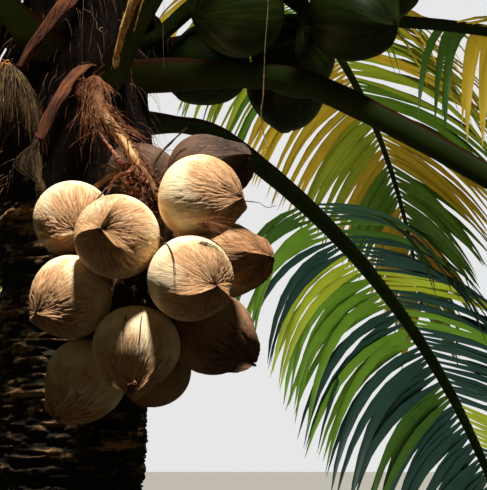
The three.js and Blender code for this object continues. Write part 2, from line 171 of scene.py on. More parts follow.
def show(name, heap, finish, replaced):
    points = np.concatenate(heap.points)
    corners = np.concatenate([part.ravel() for part in heap.faces])
    sizes = np.concatenate([np.full(len(part), part.shape[1]) for part in heap.faces])
    mesh = bpy.data.meshes.new(name)
    mesh.vertices.add(len(points))
    mesh.vertices.foreach_set("co", points.astype(np.float32).ravel())
    mesh.loops.add(len(corners))
    mesh.loops.foreach_set("vertex_index", corners.astype(np.int32))
    mesh.polygons.add(len(sizes))
    mesh.polygons.foreach_set("loop_start", (np.cumsum(sizes) - sizes).astype(np.int32))
    mesh.update(calc_edges=True)
    mesh.polygons.foreach_set("use_smooth", np.full(len(sizes), True))
    for mark, parts in heap.marks.items():
        values = np.concatenate(parts).astype(np.float32)
        kind, field = ("FLOAT_VECTOR", "vector") if values.ndim == 2 else ("FLOAT", "value")
        mesh.attributes.new(mark, kind, "POINT").data.foreach_set(field, values.ravel())
    mesh.materials.append(finish)
    piece = bpy.data.objects.new(name, mesh)
    scene.collection.objects.link(piece)
    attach(piece, "root")
    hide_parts(*replaced)
    print(f"{name}: {len(points)} points, {len(sizes)} faces")
    return piece


print("quads between two rings of six:", len(grid_faces(2, 6)))

# %% [markdown]
# ## Paths and tubes
# Stalks and stems are tubes on smooth paths. The path is a centripetal Catmull-Rom curve, which
# passes through its corners without loops. The rings of a tube are carried along it without
# twisting, and their radius may change around and along it, which is how knuckles and ridges come.

# %% Path helpers
def span(a, b, c, d, count):
    """Points of one Catmull-Rom span from b to c."""
    t1, t2, t3 = (max(np.linalg.norm(q - p), 1e-9) ** 0.5 for p, q in ((a, b), (b, c), (c, d)))
    leave = ((b - a) / t1 - (c - a) / (t1 + t2) + (c - b) / t2) * t2
    arrive = ((c - b) / t2 - (d - b) / (t2 + t3) + (d - c) / t3) * t2
    t = np.linspace(0, 1, count, endpoint=False)[:, None]
    rise = 3 * t**2 - 2 * t**3
    return b * (1 - rise) + c * rise + leave * (t**3 - 2 * t**2 + t) + arrive * (t**3 - t**2)


def smooth_path(corners, count):
    """`count` evenly spaced points on a smooth curve through the corners."""
    p = np.array(corners, float)
    ends = np.vstack([2 * p[0] - p[1], p, 2 * p[-1] - p[-2]])
    spans = [span(*ends[i : i + 4], 24) for i in range(len(p) - 1)]
    fine = np.vstack([*spans, p[-1:]])
    reach = np.concatenate([[0], np.cumsum(np.linalg.norm(np.diff(fine, axis=0), axis=1))])
    wanted = np.linspace(0, reach[-1], count)
    return np.stack([np.interp(wanted, reach, fine[:, k]) for k in range(3)], -1)


def tube(path, radii, sides, flat=1.0):
    """Rings of points along a path, and the faces of the closed tube. radii may vary around."""
    along = unit(np.gradient(path, axis=0))
    across = np.zeros_like(path)
    reference = UP if abs(along[0][2]) < 0.9 else np.array([1.0, 0.0, 0.0])
    carried = np.cross(reference, along[0])
    for k, way in enumerate(along):
        carried = unit(carried - dot(carried, way) * way)
        across[k] = carried
    above = np.cross(along, across)
    angle = 2 * np.pi * np.arange(sides) / sides
    wide = radii * np.cos(angle)
    deep = radii * np.sin(angle) * flat
    rings = path[:, None] + wide[..., None] * across[:, None] + deep[..., None] * above[:, None]
    return rings.reshape(-1, 3), closed_faces(len(path), sides)


def ring_noise(turn, height, columns, rows, seed):
    """Smooth random values from -1 to 1 over a sleeve: turn wraps from 0 to 1, and height doesn't."""
    table = np.random.default_rng(seed).uniform(-1, 1, (rows + 2, columns))
    u = (turn % 1) * columns
    v = np.clip(height, 0, 1) * rows
    i = np.floor(u).astype(int)
    j = np.floor(v).astype(int)
    fu = ease(u - i, 0, 1)
    low = mix(table[j, i % columns], table[j, (i + 1) % columns], fu)
    high = mix(table[j + 1, i % columns], table[j + 1, (i + 1) % columns], fu)
    return mix(low, high, ease(v - j, 0, 1))


def ridged(count, sides, seed, depth=0.12):
    """Factors for a tube's radius: long ridges that wander, and slow swellings."""
    turn, share = np.meshgrid(np.arange(sides) / sides, np.linspace(0, 1, count))
    ridges = ring_noise(turn, share, max(3, sides // 3), 9, seed)
    return 1 + depth * ridges + 0.5 * depth * ring_noise(turn, share, 3, 5, seed + 1)


def add_tube(heap, path, radii, sides, seed=None, rough=0.12, flat=1.0, **marks):
    """A tube with one radius for each point of its path. With a seed, ridges roughen it."""
    radii = np.broadcast_to(radii, len(path))[:, None]
    if seed is not None:
        radii = radii * ridged(len(path), sides, seed, rough)
    heap.add(*tube(path, radii, sides, flat), **marks)


def strands(starts, ways, lengths, thickness, droop, curl, steps, seed):
    """Many thin three-sided fibres at once: each leaves its start and bends down under its weight."""
    rng = np.random.default_rng(seed)
    count = len(starts)
    t = np.linspace(0, 1, steps + 1)[None, :, None]
    sway = np.cumsum(rng.normal(0, curl / steps**0.5, (count, steps + 1, 3)), axis=1)
    bend = unit(unit(ways)[:, None] * (1 - 0.5 * droop * t) - UP * droop * t + sway * t)
    step = np.asarray(lengths)[:, None, None] / steps
    path = starts[:, None] + np.cumsum(bend * step, axis=1) - bend * step
    side = unit(np.cross(bend, rng.normal(0, 1, (count, 1, 3))))
    over = np.cross(bend, side)
    thick = np.asarray(thickness).reshape(-1, 1, 1) * (1 - 0.7 * t)
    rings = [path + thick * (side * c + over * s) for c, s in ((1, 0), (-0.5, 0.87), (-0.5, -0.87))]
    points = np.stack(rings, 2).reshape(-1, 3)
    return points, repeated(grid_faces(steps + 1, 3), count, (steps + 1) * 3)


print("points of a short path:", smooth_path([(0, 0, 0), (0, 0, 1)], 3).tolist())

# %% [markdown]
# ## Writing a finish as a sum
# Shader maths reads better as a sum than as a web of nodes. `Wire` wraps one socket, and each
# operator adds its Math node, so `1 - mask * 0.5` makes two nodes. `Finish.node` makes any other
# node from its type, its settings and its sockets. A finish is painted in coats: it starts with
# one plain colour, and `coat` lays the next one over it where a mask lets it through.

# %% Shader helpers
def srgb(red, green, blue):
    """A screen colour from 0 to 255 as the linear colour that a shader takes."""
    channels = [c / 255 for c in (red, green, blue)]
    linear = [c / 12.92 if c <= 0.04045 else ((c + 0.055) / 1.055) ** 2.4 for c in channels]
    return (*linear, 1.0)


class Wire:
    """One output socket of a finish."""

    def __init__(self, finish, socket):
        self.finish = finish
        self.socket = socket

    def maths(self, operation, *values):
        return self.finish.node("Math", {"operation": operation}, dict(enumerate(values)))

    def __add__(self, other):
        return self.maths("ADD", self, other)

    def __sub__(self, other):
        return self.maths("SUBTRACT", self, other)

    def __rsub__(self, other):
        return self.maths("SUBTRACT", other, self)

    def __mul__(self, other):
        return self.maths("MULTIPLY", self, other)

    __radd__ = __add__

    def between(self, low, high):
        """0 below low, 1 above high, and smooth in between."""
        sockets = {0: self, 1: low, 2: high, 3: 0.0, 4: 1.0}
        return self.finish.node("MapRange", {"interpolation_type": "SMOOTHSTEP"}, sockets)


class Finish:
    """A material with one Principled shader. Its plain colours are triples from 0 to 255."""

    def __init__(self, name, colour, specular):
        self.material = bpy.data.materials.new(name)
        self.material.use_nodes = True
        self.tree = self.material.node_tree
        self.surface = self.tree.nodes["Principled BSDF"]
        self.surface.inputs["Specular IOR Level"].default_value = specular
        self.colour = srgb(*colour)
        self.place = self.node("TexCoord", out="Object")

    def node(self, kind, settings=None, sockets=None, out=0):
        made = self.tree.nodes.new("ShaderNode" + kind)
        for key, value in (settings or {}).items():
            setattr(made, key, value)
        for key, value in (sockets or {}).items():
            self.plug(made.inputs[key], value)
        return Wire(self, made.outputs[out])

    def plug(self, socket, value):
        if isinstance(value, Wire):
            self.tree.links.new(value.socket, socket)
        else:
            socket.default_value = value

    def mark(self, name, out="Fac"):
        """A value that the mesh carries at each of its points."""
        return self.node("Attribute", {"attribute_name": name}, out=out)

    def noise(self, scale, detail=3.0, rough=0.5, warp=0.0, over=None):
        """Noise over the object's place or another vector. A triple of scales stretches it."""
        vector = over or self.place
        if isinstance(scale, tuple):
            vector = self.node("VectorMath", {"operation": "MULTIPLY"}, {0: vector, 1: scale})
            scale = 1.0
        sockets = {"Vector": vector, "Scale": scale, "Detail": detail, "Roughness": rough}
        return self.node("TexNoise", {}, {**sockets, "Distortion": warp})

    def blend(self, mask, first, second):
        return self.node("Mix", {"data_type": "RGBA"}, {0: mask, 6: first, 7: second}, out=2)

    def coat(self, mask, colour):
        """Lay a plain or blended colour over the ones before, where the mask is 1."""
        colour = colour if isinstance(colour, Wire) else srgb(*colour)
        self.colour = self.blend(mask, self.colour, colour)

    def finish(self, rough, height=None, depth=0.001, strength=1.0):
        self.plug(self.surface.inputs["Base Color"], self.colour)
        self.plug(self.surface.inputs["Roughness"], rough)
        if height is not None:
            sockets = {"Height": height, "Distance": depth, "Strength": strength}
            self.plug(self.surface.inputs["Normal"], self.node("Bump", {}, sockets))
        return self.material


print("mid grey as linear light:", round(srgb(128, 128, 128)[0], 3))

# %% [markdown]
# ## Trunk
# A palm's trunk is rough but never branched. Each fallen leaf leaves a scar that rings it, with a
# lip and a groove, and the weathered bark between has short level ledges and fine upright cracks.
# The taper, lean and flare follow the solid's own rule.

# %% Trunk rule
BARK_TOP = 3.26
STEM_TIP = 4.3
LEAN = 0.18
TRUNK_RADIUS = 0.189
FLARE = 0.132
FLARE_HEIGHT = 0.26
SCARS = 14
FIRST_SCAR = 0.26
STEM_TIP_RADIUS = 0.02


def stem_at(z):
    z = np.asarray(z, float)
    left = 1 - np.minimum(z / BARK_TOP, 1)
    return np.stack([LEAN * (1 - left**2.2), 0 * z, z], -1)


def stem_radius(z):
    z = np.asarray(z, float)
    share = np.clip((z - BARK_TOP) / (STEM_TIP - BARK_TOP), 0, 1)
    bark = TRUNK_RADIUS + FLARE * np.exp(-z / FLARE_HEIGHT)
    return np.where(z <= BARK_TOP, bark, mix(TRUNK_RADIUS - 0.006, STEM_TIP_RADIUS, share**1.7))


scar_pitch = (BARK_TOP - 0.06 - FIRST_SCAR) / (SCARS - 1)
scar_index = np.arange(SCARS)
scar_heights = FIRST_SCAR + scar_index * scar_pitch + 0.18 * scar_pitch * jitter(scar_index, 1)
print("leaf scars at", scar_heights.round(2))

# %% [markdown]
# ### Bark
# Bark could be a bump on a smooth tube, but then its outline would stay smooth. A sleeve of
# points moved in and out by noise gives the ledges their true shape. The noises go from broad
# lumps to small flakes, and three rubbed stretches on the front show pale fibre.

# %% Trunk mesh
BARK_COLUMNS = 216
BARK_SPLIT = 2.3  # the bark is two meshes that meet here; the upper one is seen close and is finer
BARK_STRETCHES = {
    "trunk_bark_low": (0.0, BARK_SPLIT, 330),
    "trunk_bark_high": (BARK_SPLIT, BARK_TOP + 0.04, 350),
}
# The rubbed stretches: across, height, half width and half height.
WORN = ((0.064, 3.197, 0.085, 0.017), (0.31, 2.626, 0.055, 0.015), (0.285, 2.47, 0.05, 0.03))


def scar_relief(turn, z):
    """Each scar stands out as a lip with a groove over it, and wanders a little up and down."""
    relief = np.zeros(np.broadcast(turn, z).shape)
    for i, height in enumerate(scar_heights):
        wander = 0.012 * ring_noise(turn, np.full_like(turn, 0.5), 9, 2, 50 + i)
        above = z - height - wander
        relief += 0.006 * np.exp(-((above / 0.016) ** 2))
        relief -= 0.007 * np.exp(-(((above - 0.22 * scar_pitch) / 0.024) ** 2))
    return relief


def bark_relief(turn, z):
    share = z / BARK_TOP
    turn = turn + 0.01 * ring_noise(turn, share, 14, 80, 9)
    share = share + 0.0022 * ring_noise(turn, share, 13, 90, 10)
    lumps = 0.004 * ring_noise(turn, share, 9, 26, 3)
    bands = 0.005 * np.abs(ring_noise(turn, share, 6, 84, 8)) ** 0.6
    ledges = 0.0048 * ease(ring_noise(turn, share, 26, 330, 4), -0.2, 0.3)
    flakes = 0.003 * ease(ring_noise(turn, share, 52, 520, 5), -0.1, 0.3)
    pits = -0.004 * ease(ring_noise(turn, share, 40, 240, 6), 0.35, 0.7)
    return scar_relief(turn, z) + lumps + bands + ledges + flakes + pits - 0.006


def bark_grid(low, high, rows):
    """Points, relief and rubbed places of one stretch of bark."""
    turn, z = np.meshgrid(np.arange(BARK_COLUMNS) / BARK_COLUMNS, np.linspace(low, high, rows))
    relief = bark_relief(turn, z)
    out = stem_radius(np.minimum(z, BARK_TOP)) + relief
    points = stem_at(z) + around(turn) * out[..., None]
    worn = np.zeros_like(z)
    for across, height, half_width, half_height in WORN:
        near = ((points[..., 0] - across) / half_width) ** 2 + ((z - height) / half_height) ** 2
        worn += np.exp(-near) * (points[..., 1] < 0)
    return points, relief, worn


print("bark relief at the foot:", bark_relief(np.array([0.0, 0.5]), np.array([0.0, 0.0])).round(4))

# %% [markdown]
# ### Bark finish
# The weathered bark is nearly black in its cracks and dark brown on its ledges, with thin grey
# growth and a few rubbed, orange-brown patches. The near-black ground is partly the bark's own
# colour and partly painted shade over the trunk. The mesh carries its own relief as a value, so
# the cracks can be darkened as painted shade, and the ledges lightened as painted light, exactly
# where they are.

# %% Bark finish
def bark_finish():
    # Near-black ground: partly the bark's own colour and partly painted shade over the trunk.
    f = Finish("weathered_bark", (20, 15, 10), 0.2)
    level = f.noise((24, 24, 115), 6.0, 0.68, 0.5)
    crack = f.noise((90, 90, 28), 4.0, 0.65, 0.6)
    broad = f.noise(5.0, 4.0, 0.65)
    relief = f.mark("relief").between(-0.004, 0.008)
    # Lighter on the raised ledges and darkest in the cracks: partly the bark's own colour, partly painted
    # shade in the cracks and painted light on the ledges.
    f.coat((level * 0.6 + crack * 0.3 + relief * 0.55).between(0.5, 1.15), (96, 70, 46))
    growth = (broad * 0.8 + crack * 0.3).between(0.5, 0.68)
    f.coat(growth * 0.45, (52, 54, 34))
    # Rust brown only on the raised ledges: partly rust and partly painted light where the ledges catch it.
    rust_and_ledge_light = (level * 0.6 + broad * 0.5).between(0.58, 0.72) * relief
    f.coat(rust_and_ledge_light * 0.7, (128, 80, 42))
    fleck = (level * 0.7 + crack * 0.4 + relief * 0.15).between(0.64, 0.76)
    f.coat(fleck * 0.7, (156, 120, 78))
    worn = (f.mark("worn") * 1.1 + (level - 0.5) * 2.4 + (crack - 0.5)).between(0.5, 0.95)
    f.coat(worn, f.blend(crack, srgb(116, 70, 34), srgb(192, 142, 84)))
    return f.finish(0.95, level * 0.7 + crack * 0.4, 0.008)


bark_skin = bark_finish()
for name, (low, high, rows) in BARK_STRETCHES.items():
    bark_points, relief, worn = bark_grid(low, high, rows)
    trunk_heap = Heap()
    faces = closed_faces(rows, BARK_COLUMNS)
    trunk_heap.add(bark_points, faces, relief=relief.ravel(), worn=worn.ravel())
    show(name, trunk_heap, bark_skin, ["trunk"])

# %% [markdown]
# ## Frond rule
# A coconut frond is a stiff petiole that widens where it clasps the stem, then a rib that arches
# over and thins to its tip, with leaflets on both sides. The rule below is the solid's own: the
# fronds leave the stem 137.5 degrees apart, the old ones hang and the young ones stand. Four of
# them have ways of their own, such as the heavy one whose petiole crosses over the fruit.

# %% Frond rule
FRONDS = 23
FROND_LENGTH = 3.9
PETIOLE_SHARE = 0.3
RIB_STEPS = 96
CROSSING_FROND = 2
CLIMBING_FROND = 7
FROND_WAYS = {
    CROSSING_FROND: {"bearing": -21, "height": 3.555, "lift": -2, "neck": 23, "arch": 50, "roll": -56},
    0: {"bearing": 56, "lift": 12, "neck": 20, "arch": 64},
    8: {"bearing": 67, "arch": 96},
    CLIMBING_FROND: {"bearing": -58, "height": 3.385, "lift": 37, "girth": 0.7},
}


def frond_of(index):
    """The rule of one frond: places in metres, and angles in degrees."""
    age = index / (FRONDS - 1)
    rule = {
        "bearing": 53.75 + 137.5 * index + 4 * jitter(index, 2),
        "lift": -18 + 102 * age**0.6,
        "neck": 16 * (1 - age) ** 2,
        "arch": 45 + 40 * math.sin(math.pi * min(1, 1.3 * age)),
        "roll": 14 * jitter(index, 3) * (1 - age),
        "sag": mix(0.8, 0.25, age),
        "length": FROND_LENGTH * (1 - 0.22 * age**2) * (1 + 0.04 * jitter(index, 4)),
        "girth": mix(1, 0.5, age),
        "height": 3.44 + 0.025 * index,
        "age": age,
        "index": index,
    }
    return {**rule, **FROND_WAYS.get(index, {})}


def rib_of(frond):
    """Centre, along, across and above of the rib at every step of its length."""
    share = np.arange(RIB_STEPS + 1) / RIB_STEPS
    lift = frond["lift"] - frond["neck"] * ease(share, 0.1, 0.19) - frond["arch"] * share**1.4
    out = heading(frond["bearing"])
    along = out * np.cos(np.radians(lift))[:, None] + UP * np.sin(np.radians(lift))[:, None]
    steps = along * frond["length"] / RIB_STEPS
    centre = stem_at(frond["height"]) + np.cumsum(steps, axis=0) - steps
    turn = np.radians(frond["roll"]) * ease(share, 0.02, 0.14) * (1 - ease(share, 0.3, 0.5))
    across = turned(np.cross(UP, out), along, turn[:, None])
    return {"centre": centre, "along": along, "across": across, "above": np.cross(along, across)}


def rib_at(rib, share):
    """The rib's frame at any shares of its length."""
    step = np.clip(np.asarray(share) * RIB_STEPS, 0, RIB_STEPS)
    low = np.minimum(np.floor(step).astype(int), RIB_STEPS - 1)
    part = (step - low)[..., None]
    return {key: mix(rows[low], rows[low + 1], part) for key, rows in rib.items()}


def rib_size(frond, share):
    """Half width and depth of the rib at shares of its length."""
    base = mix(0.07, 0.037, ease(share, 0.04, 0.12))
    petiole = base - 0.005 * ease(share, 0.12, PETIOLE_SHARE)
    blade = np.maximum(0, (share - PETIOLE_SHARE) / (1 - PETIOLE_SHARE))
    width = frond["girth"] * mix(petiole, 0.007, blade)
    return width, 0.46 * width + 0.002


fronds = [frond_of(i) for i in range(FRONDS)]
ribs = [rib_of(frond) for frond in fronds]
print("crown reaches", round(max(float(rib["centre"][:, 2].max()) for rib in ribs), 2), "m")

# %% [markdown]
# ### Petioles and ribs
# In section a petiole is a shallow trough on top, with thin dry edges, and round beneath. One
# closed ring of fourteen points, carried along each rib, gives that section and lets it shrink to a
# fine rib at the tip. The edges are marked, so the finish can turn them brown.

# %% Petioles and ribs
# The section, as across and above in half widths and depths, from one edge over the trough and
# round the keel, with how dry each of its points is.
SECTION = np.array([
    (1.0, 0.62, 1.0), (0.97, 0.98, 1.0), (0.86, 0.96, 0.75), (0.55, 0.62, 0.1), (0.0, 0.42, 0.0),
    (-0.55, 0.62, 0.1), (-0.86, 0.96, 0.75), (-0.97, 0.98, 1.0), (-1.0, 0.62, 1.0),
    (-0.86, 0.05, 0.15), (-0.5, -0.72, 0.0), (0.0, -1.05, 0.0), (0.5, -0.72, 0.0), (0.86, 0.05, 0.15),
])
# Darker tones painted on the ribs that hang in the shade, as painted shade. The rest are brighter, with
# tones that differ at random.
SHADED_RIB_TONES = {0: 0.12, 1: 0.1, 2: 0.0, 4: 0.1, 5: 0.1, 7: 0.0, 9: 0.1, 10: 0.1, 12: 0.15}
RIB_SHARES = np.concatenate([np.linspace(0, 0.3, 36), np.linspace(0.31, 1, 60)])


def rib_points(frond, rib):
    frames = rib_at(rib, RIB_SHARES)
    width, depth = rib_size(frond, RIB_SHARES)
    ripple = 1 + 0.02 * np.sin(RIB_SHARES * 160 + frond["index"])
    across = SECTION[None, :, 0] * (width * ripple)[:, None]
    above = SECTION[None, :, 1] * depth[:, None]
    rings = frames["centre"][:, None] + across[..., None] * frames["across"][:, None]
    return rings + above[..., None] * frames["above"][:, None]


rib_heap = Heap()
dry_edges = SECTION[:, 2] * (1 - 0.8 * ease(RIB_SHARES, 0.3, 0.6))[:, None]
for frond, rib in zip(fronds, ribs):
    rib_heap.add(
        rib_points(frond, rib),
        closed_faces(len(RIB_SHARES), len(SECTION)),
        dry=dry_edges.ravel(),
        share=np.repeat(RIB_SHARES, len(SECTION)),
        tone=SHADED_RIB_TONES.get(frond["index"], 0.3 + 0.6 * abs(jitter(frond["index"], 9))),
    )


def petiole_finish():
    f = Finish("petiole_skin", (46, 66, 16), 0.16)
    mottle = f.noise(16.0, 4.0, 0.6)
    # Lighter by the mark: a tone that differs at random on most ribs, and the dark ground left as painted
    # shade on the ribs that hang in the shade.
    f.coat(f.mark("tone"), (110, 136, 36))
    f.coat(mottle.between(0.35, 0.7) * 0.5, (48, 52, 20))
    foot = 1 - f.mark("share").between(0.02, 0.1)
    f.coat(foot * mottle.between(0.3, 0.6), (62, 36, 20))
    edge = (f.mark("dry") + (mottle - 0.5) * 0.7).between(0.45, 0.9)
    f.coat(edge, (66, 36, 20))
    return f.finish(0.62 + edge * 0.25, f.noise(140.0, 3.0, 0.6), 0.0008, 0.6)


shaded_pieces = [show("frond_ribs", rib_heap, petiole_finish(), frond_nodes)]

# %% [markdown]
# ## Nuts
# A ripe nut is a rounded, three-sided husk. Its nose draws together in three keels round a small
# dry scar, and fine wrinkles run down from there along the fibres and fade half way. The nuts
# follow the solids' places and ways, a few of them within two centimetres. The husk is a globe of
# points on which each wrinkle and keel is pushed in or out, because their shadows are what makes
# the bunch look real.

# %% Nut rule
HEART = np.array([0.402, -0.47, 3.0])
NUT_RADIUS = 0.094
RIPE_KEEL = 0.46
# Across, away and up from the bunch's heart, the nose's bearing and lift, size, turn of the keels.
RIPE_NUTS = {
    "upper_left": (-0.181, 0.064, 0.135, -78, -23, 0.96, 100),
    "front_left": (-0.068, -0.095, 0.073, -102, 1, 1.0, 60),
    "upper_right": (0.114, -0.084, 0.16, -36, -5, 1.01, 30),
    "top_right": (0.121, 0.092, 0.252, -14, 16, 0.97, 10),
    "front_right": (0.097, -0.128, -0.023, -60, -13, 1.0, 114),
    "far_right": (0.166, 0.118, 0.049, -12, 3, 0.97, 20),
    "left": (-0.178, 0.0, -0.05, -127, -22, 1.0, 55),
    "front_low": (-0.025, -0.058, -0.167, -98, -61, 1.01, 30),
    "lower_left": (-0.149, 0.072, -0.229, -151, -51, 1.0, 90),
    "lower_right": (0.144, 0.038, -0.132, -20, -34, 1.0, 50),
    "bottom": (-0.002, 0.188, -0.2, 100, -20, 0.95, 0),
    "top_back": (-0.034, 0.19, 0.254, 108, 47, 0.95, 0),
    "back_right": (0.062, 0.278, 0.112, 77, 20, 0.95, 15),
    "back_left": (-0.098, 0.207, -0.03, 210, -10, 0.93, 70),
}
BLUNT_KEELS = {"upper_left": 0.26, "left": 0.3, "lower_left": 0.3, "upper_right": 0.22}
# The darker husks go to the nuts that hang in shade: their colour is partly a browner husk and partly
# painted shade.
HUSKS = {
    "top_right": "dark",
    "lower_right": "brown",
    "top_back": "dark",
    "far_right": "olive",
    "back_left": "dark",
    "bottom": "brown",
}


def nut_place(row):
    """Centre, way of the nose and radius of a ripe nut."""
    return HEART + np.array(row[:3]), heading(row[3], row[4]), NUT_RADIUS * row[5]


def husk_surface(polar, turn, spin):
    """The plain husk at an angle from its nose and a turn about it, in nut radii."""
    z = np.cos(polar)
    flat = 1 + 0.03 * np.cos(3 * (turn - spin)) * np.maximum(z, 0)
    out = np.sin(polar) * flat
    size = np.abs(z)
    height = np.where(z > 0, 1.14 * size**1.29, -0.95 * size**0.91)
    return np.stack([out * np.cos(turn), out * np.sin(turn), height], -1)


def three_sided(turn):
    """The outline of a triangle about its middle: 1 at a corner and 0.5 half way along a side."""
    from_corner = np.abs((turn + np.pi / 3) % (2 * np.pi / 3) - np.pi / 3)
    return 0.5 / np.cos(np.pi / 3 - from_corner)


def wrinkles(polar, turn, seed):
    """Creases that run along the husk, wander and branch: the places where a smooth noise is near 0."""
    lap = turn / (2 * np.pi)
    share = polar / np.pi
    lap = lap + 0.006 * ring_noise(lap, share, 8, 16, seed)
    coarse = np.abs(ring_noise(lap + 0.05 * share, share, 66, 9, seed + 2))
    fine = np.abs(ring_noise(lap - 0.05 * share, share, 112, 15, seed + 3))
    strength = 0.6 + 0.5 * ring_noise(lap, share, 5, 4, seed + 4)
    return strength * ((1 - ease(coarse, 0, 0.4)) + 0.6 * (1 - ease(fine, 0, 0.4)))


def husk_relief(polar, turn, spin, seed, keel, furrow):
    """How far the husk stands out of its plain surface, in nut radii, and how creased it is."""
    wander = 0.1 * np.sin(3 * polar + seed)
    keels = keel * np.exp(-(((polar - 0.42) / 0.46) ** 2)) * (three_sided(turn - spin + wander) - 0.72)
    nose_half = (0.1 + 0.9 * ease(polar, 1.75, 0.75)) * ease(polar, 0.02, 0.14)
    stem_end = 0.8 * ease(polar, 2.25, 2.7)
    creased = wrinkles(polar, turn, seed) * (nose_half + stem_end)
    beak = 0.05 * np.exp(-((polar / 0.2) ** 2)) - 0.016 * np.exp(-((polar / 0.05) ** 2))
    pucker = 0.014 * np.exp(-(((polar - 0.1) / 0.07) ** 2)) * np.cos(5 * turn + seed)
    lopsided = 0.014 * np.cos(2 * turn + seed) * np.sin(polar)
    dimple = 0.05 * np.exp(-(((np.pi - polar) / 0.2) ** 2))
    return keels - furrow * creased + beak + pucker + lopsided - dimple, creased


def turn_to(way):
    """The matrix that turns +Z to a direction the short way round."""
    axis = np.cross(UP, way)
    size = np.linalg.norm(axis)
    if size < 1e-9:
        return np.eye(3)
    angle = math.atan2(size, way[2])
    return np.stack([turned(row, axis / size, angle) for row in np.eye(3)], 1)


def add_nut(heap, centre, way, radius, spin, seed, shape, keel, furrow=0.02):
    rows, columns = shape
    polar = np.pi * np.linspace(0, 1, rows + 2)[1:-1] ** 1.25
    turn = 2 * np.pi * np.arange(columns) / columns
    turn, polar = np.meshgrid(turn, polar)
    relief, creased = husk_relief(polar, turn, spin, seed, keel, furrow)
    body = husk_surface(polar, turn, spin) * (1 + relief)[..., None]
    points = centre + radius * body.reshape(-1, 3) @ turn_to(way).T
    grain = np.stack([np.cos(turn), np.sin(turn), polar + 4 * seed], -1).reshape(-1, 3)
    marks = {"grain": grain, "polar": polar.ravel(), "creased": creased.ravel()}
    heap.add(points, closed_faces(rows, columns), **marks)


print("ripe nuts:", len(RIPE_NUTS))

# %% [markdown]
# ### Husk finish
# The dry skin is cream where it is stretched and tan over the fibres, streaked with brown along
# the furrows, and darkest at the nose. The mesh carries a turn about the nut and an angle from
# its nose. Noise that is fine around and coarse along those two gives streaks that meet at the nose.

# %% Husk finish
# The olive and brown sets are partly browner husk and partly painted shade, and the dark set is painted
# shade on a brown husk, for nuts that hang in shade.
HUSK_COLOURS = {
    "pale": ((242, 219, 176), (207, 158, 110), (138, 84, 46)),
    "olive": ((206, 160, 112), (168, 118, 76), (104, 64, 36)),
    "brown": ((158, 118, 84), (126, 90, 60), (74, 46, 27)),
    "dark": ((92, 66, 46), (70, 47, 31), (40, 26, 16)),
}


def husk_finish(name, cream, tan, furrow):
    f = Finish("ripe_husk_" + name, cream, 0.3)
    grain = f.mark("grain", "Vector")
    polar = f.mark("polar")
    broad = f.noise((1.5, 1.5, 1.3), 3.0, 0.5, 0.3, grain)
    streak = f.noise((15, 15, 1.3), 4.0, 0.6, 0.25, grain)
    thread = f.noise((34, 34, 2.2), 3.0, 0.6, 0.3, grain)
    fold = 1 - thread.maths("ABSOLUTE", thread - 0.5).between(0.0, 0.05)
    blotch = f.noise(26.0, 4.0, 0.65)
    spot = f.node("TexVoronoi", {}, {"Vector": f.place, "Scale": 48.0})
    nose = 1 - polar.between(0.3, 1.7)
    f.coat((broad + nose * 0.32).between(0.42, 0.78), tan)
    f.coat(streak.between(0.5, 0.72) * (nose * 0.5 + 0.12), furrow)
    f.coat(f.mark("creased").between(0.35, 1.2) * 0.75, furrow)
    f.coat(fold * (nose * 0.6 + 0.08), furrow)
    f.coat(blotch.between(0.6, 0.72) * 0.3, furrow)
    specks = (1 - spot.between(0.05, 0.13)) * blotch.between(0.46, 0.56)
    f.coat(specks * 0.8, (84, 54, 34))
    tip = (polar + (thread - 0.5) * 0.25).between(0.02, 0.16)
    f.coat((1 - tip) * 0.85, (98, 60, 38))
    height = streak * 0.4 + thread * 0.4 - fold * (nose * 0.3 + 0.05)
    return f.finish(0.7, height, 0.005)


husks = {name: husk_finish(name, *colours) for name, colours in HUSK_COLOURS.items()}
print("husk finishes:", ", ".join(husks))

# %% [markdown]
# ### The ripe bunch
# Each nut is a piece of its own, so that it can be picked or moved. Those behind the rest get a
# coarser mesh, because the view shows little of them.

# %% Ripe nuts
NUT_MESH = (92, 248)
FAR_NUT_MESH = (60, 140)
for seed, (place, row) in enumerate(RIPE_NUTS.items()):
    nut_heap = Heap()
    shape = FAR_NUT_MESH if "back" in place else NUT_MESH
    keel = BLUNT_KEELS.get(place, RIPE_KEEL)
    add_nut(nut_heap, *nut_place(row), math.radians(row[6]), seed, shape, keel)
    show("ripe_nut_" + place, nut_heap, husks[HUSKS.get(place, "pale")], ["nut_" + place])

# %% [markdown]
# ### Stalk and branchlets of the ripe bunch
# The fruit hangs from one woody stalk that comes out of a leaf base, bends over and runs down
# through the middle of the bunch. A branchlet leaves it for each nut. The stalk is a tube with
# long ridges and swellings, and each branchlet is knuckled where dead flowers have dropped off.

# %% Ripe stalk
STALK_LINE = np.array([
    (-0.124, 0.097, 0.395), (-0.05, 0.045, 0.29), (-0.015, 0.038, 0.2),
    (-0.002, 0.05, 0.1), (-0.006, 0.062, 0.0), (-0.012, 0.066, -0.07),
])
STALK_FOOT = (-80, 3.485)  # bearing and height on the stem
STALK_BEND = (-0.15, 0.222, 0.497)
STALK_RADIUS = 0.0155
STALK_STEPS = 90
STALK_SIDES = 16
HANG_STEPS = 60
BRANCHLET_STEPS = 18
BRANCHLET_RADIUS = 0.0066


def stem_socket(bearing, z):
    """Where a stalk leaves the stem: a point inside the bark, and one on it."""
    way = heading(bearing)
    return stem_at(z) + way * 0.5 * stem_radius(z), stem_at(z) + way * (stem_radius(z) + 0.012)


def bunch_path(corners, count):
    """A smooth path whose corners are given from the heart of the bunch."""
    return smooth_path(HEART + np.array(corners), count)


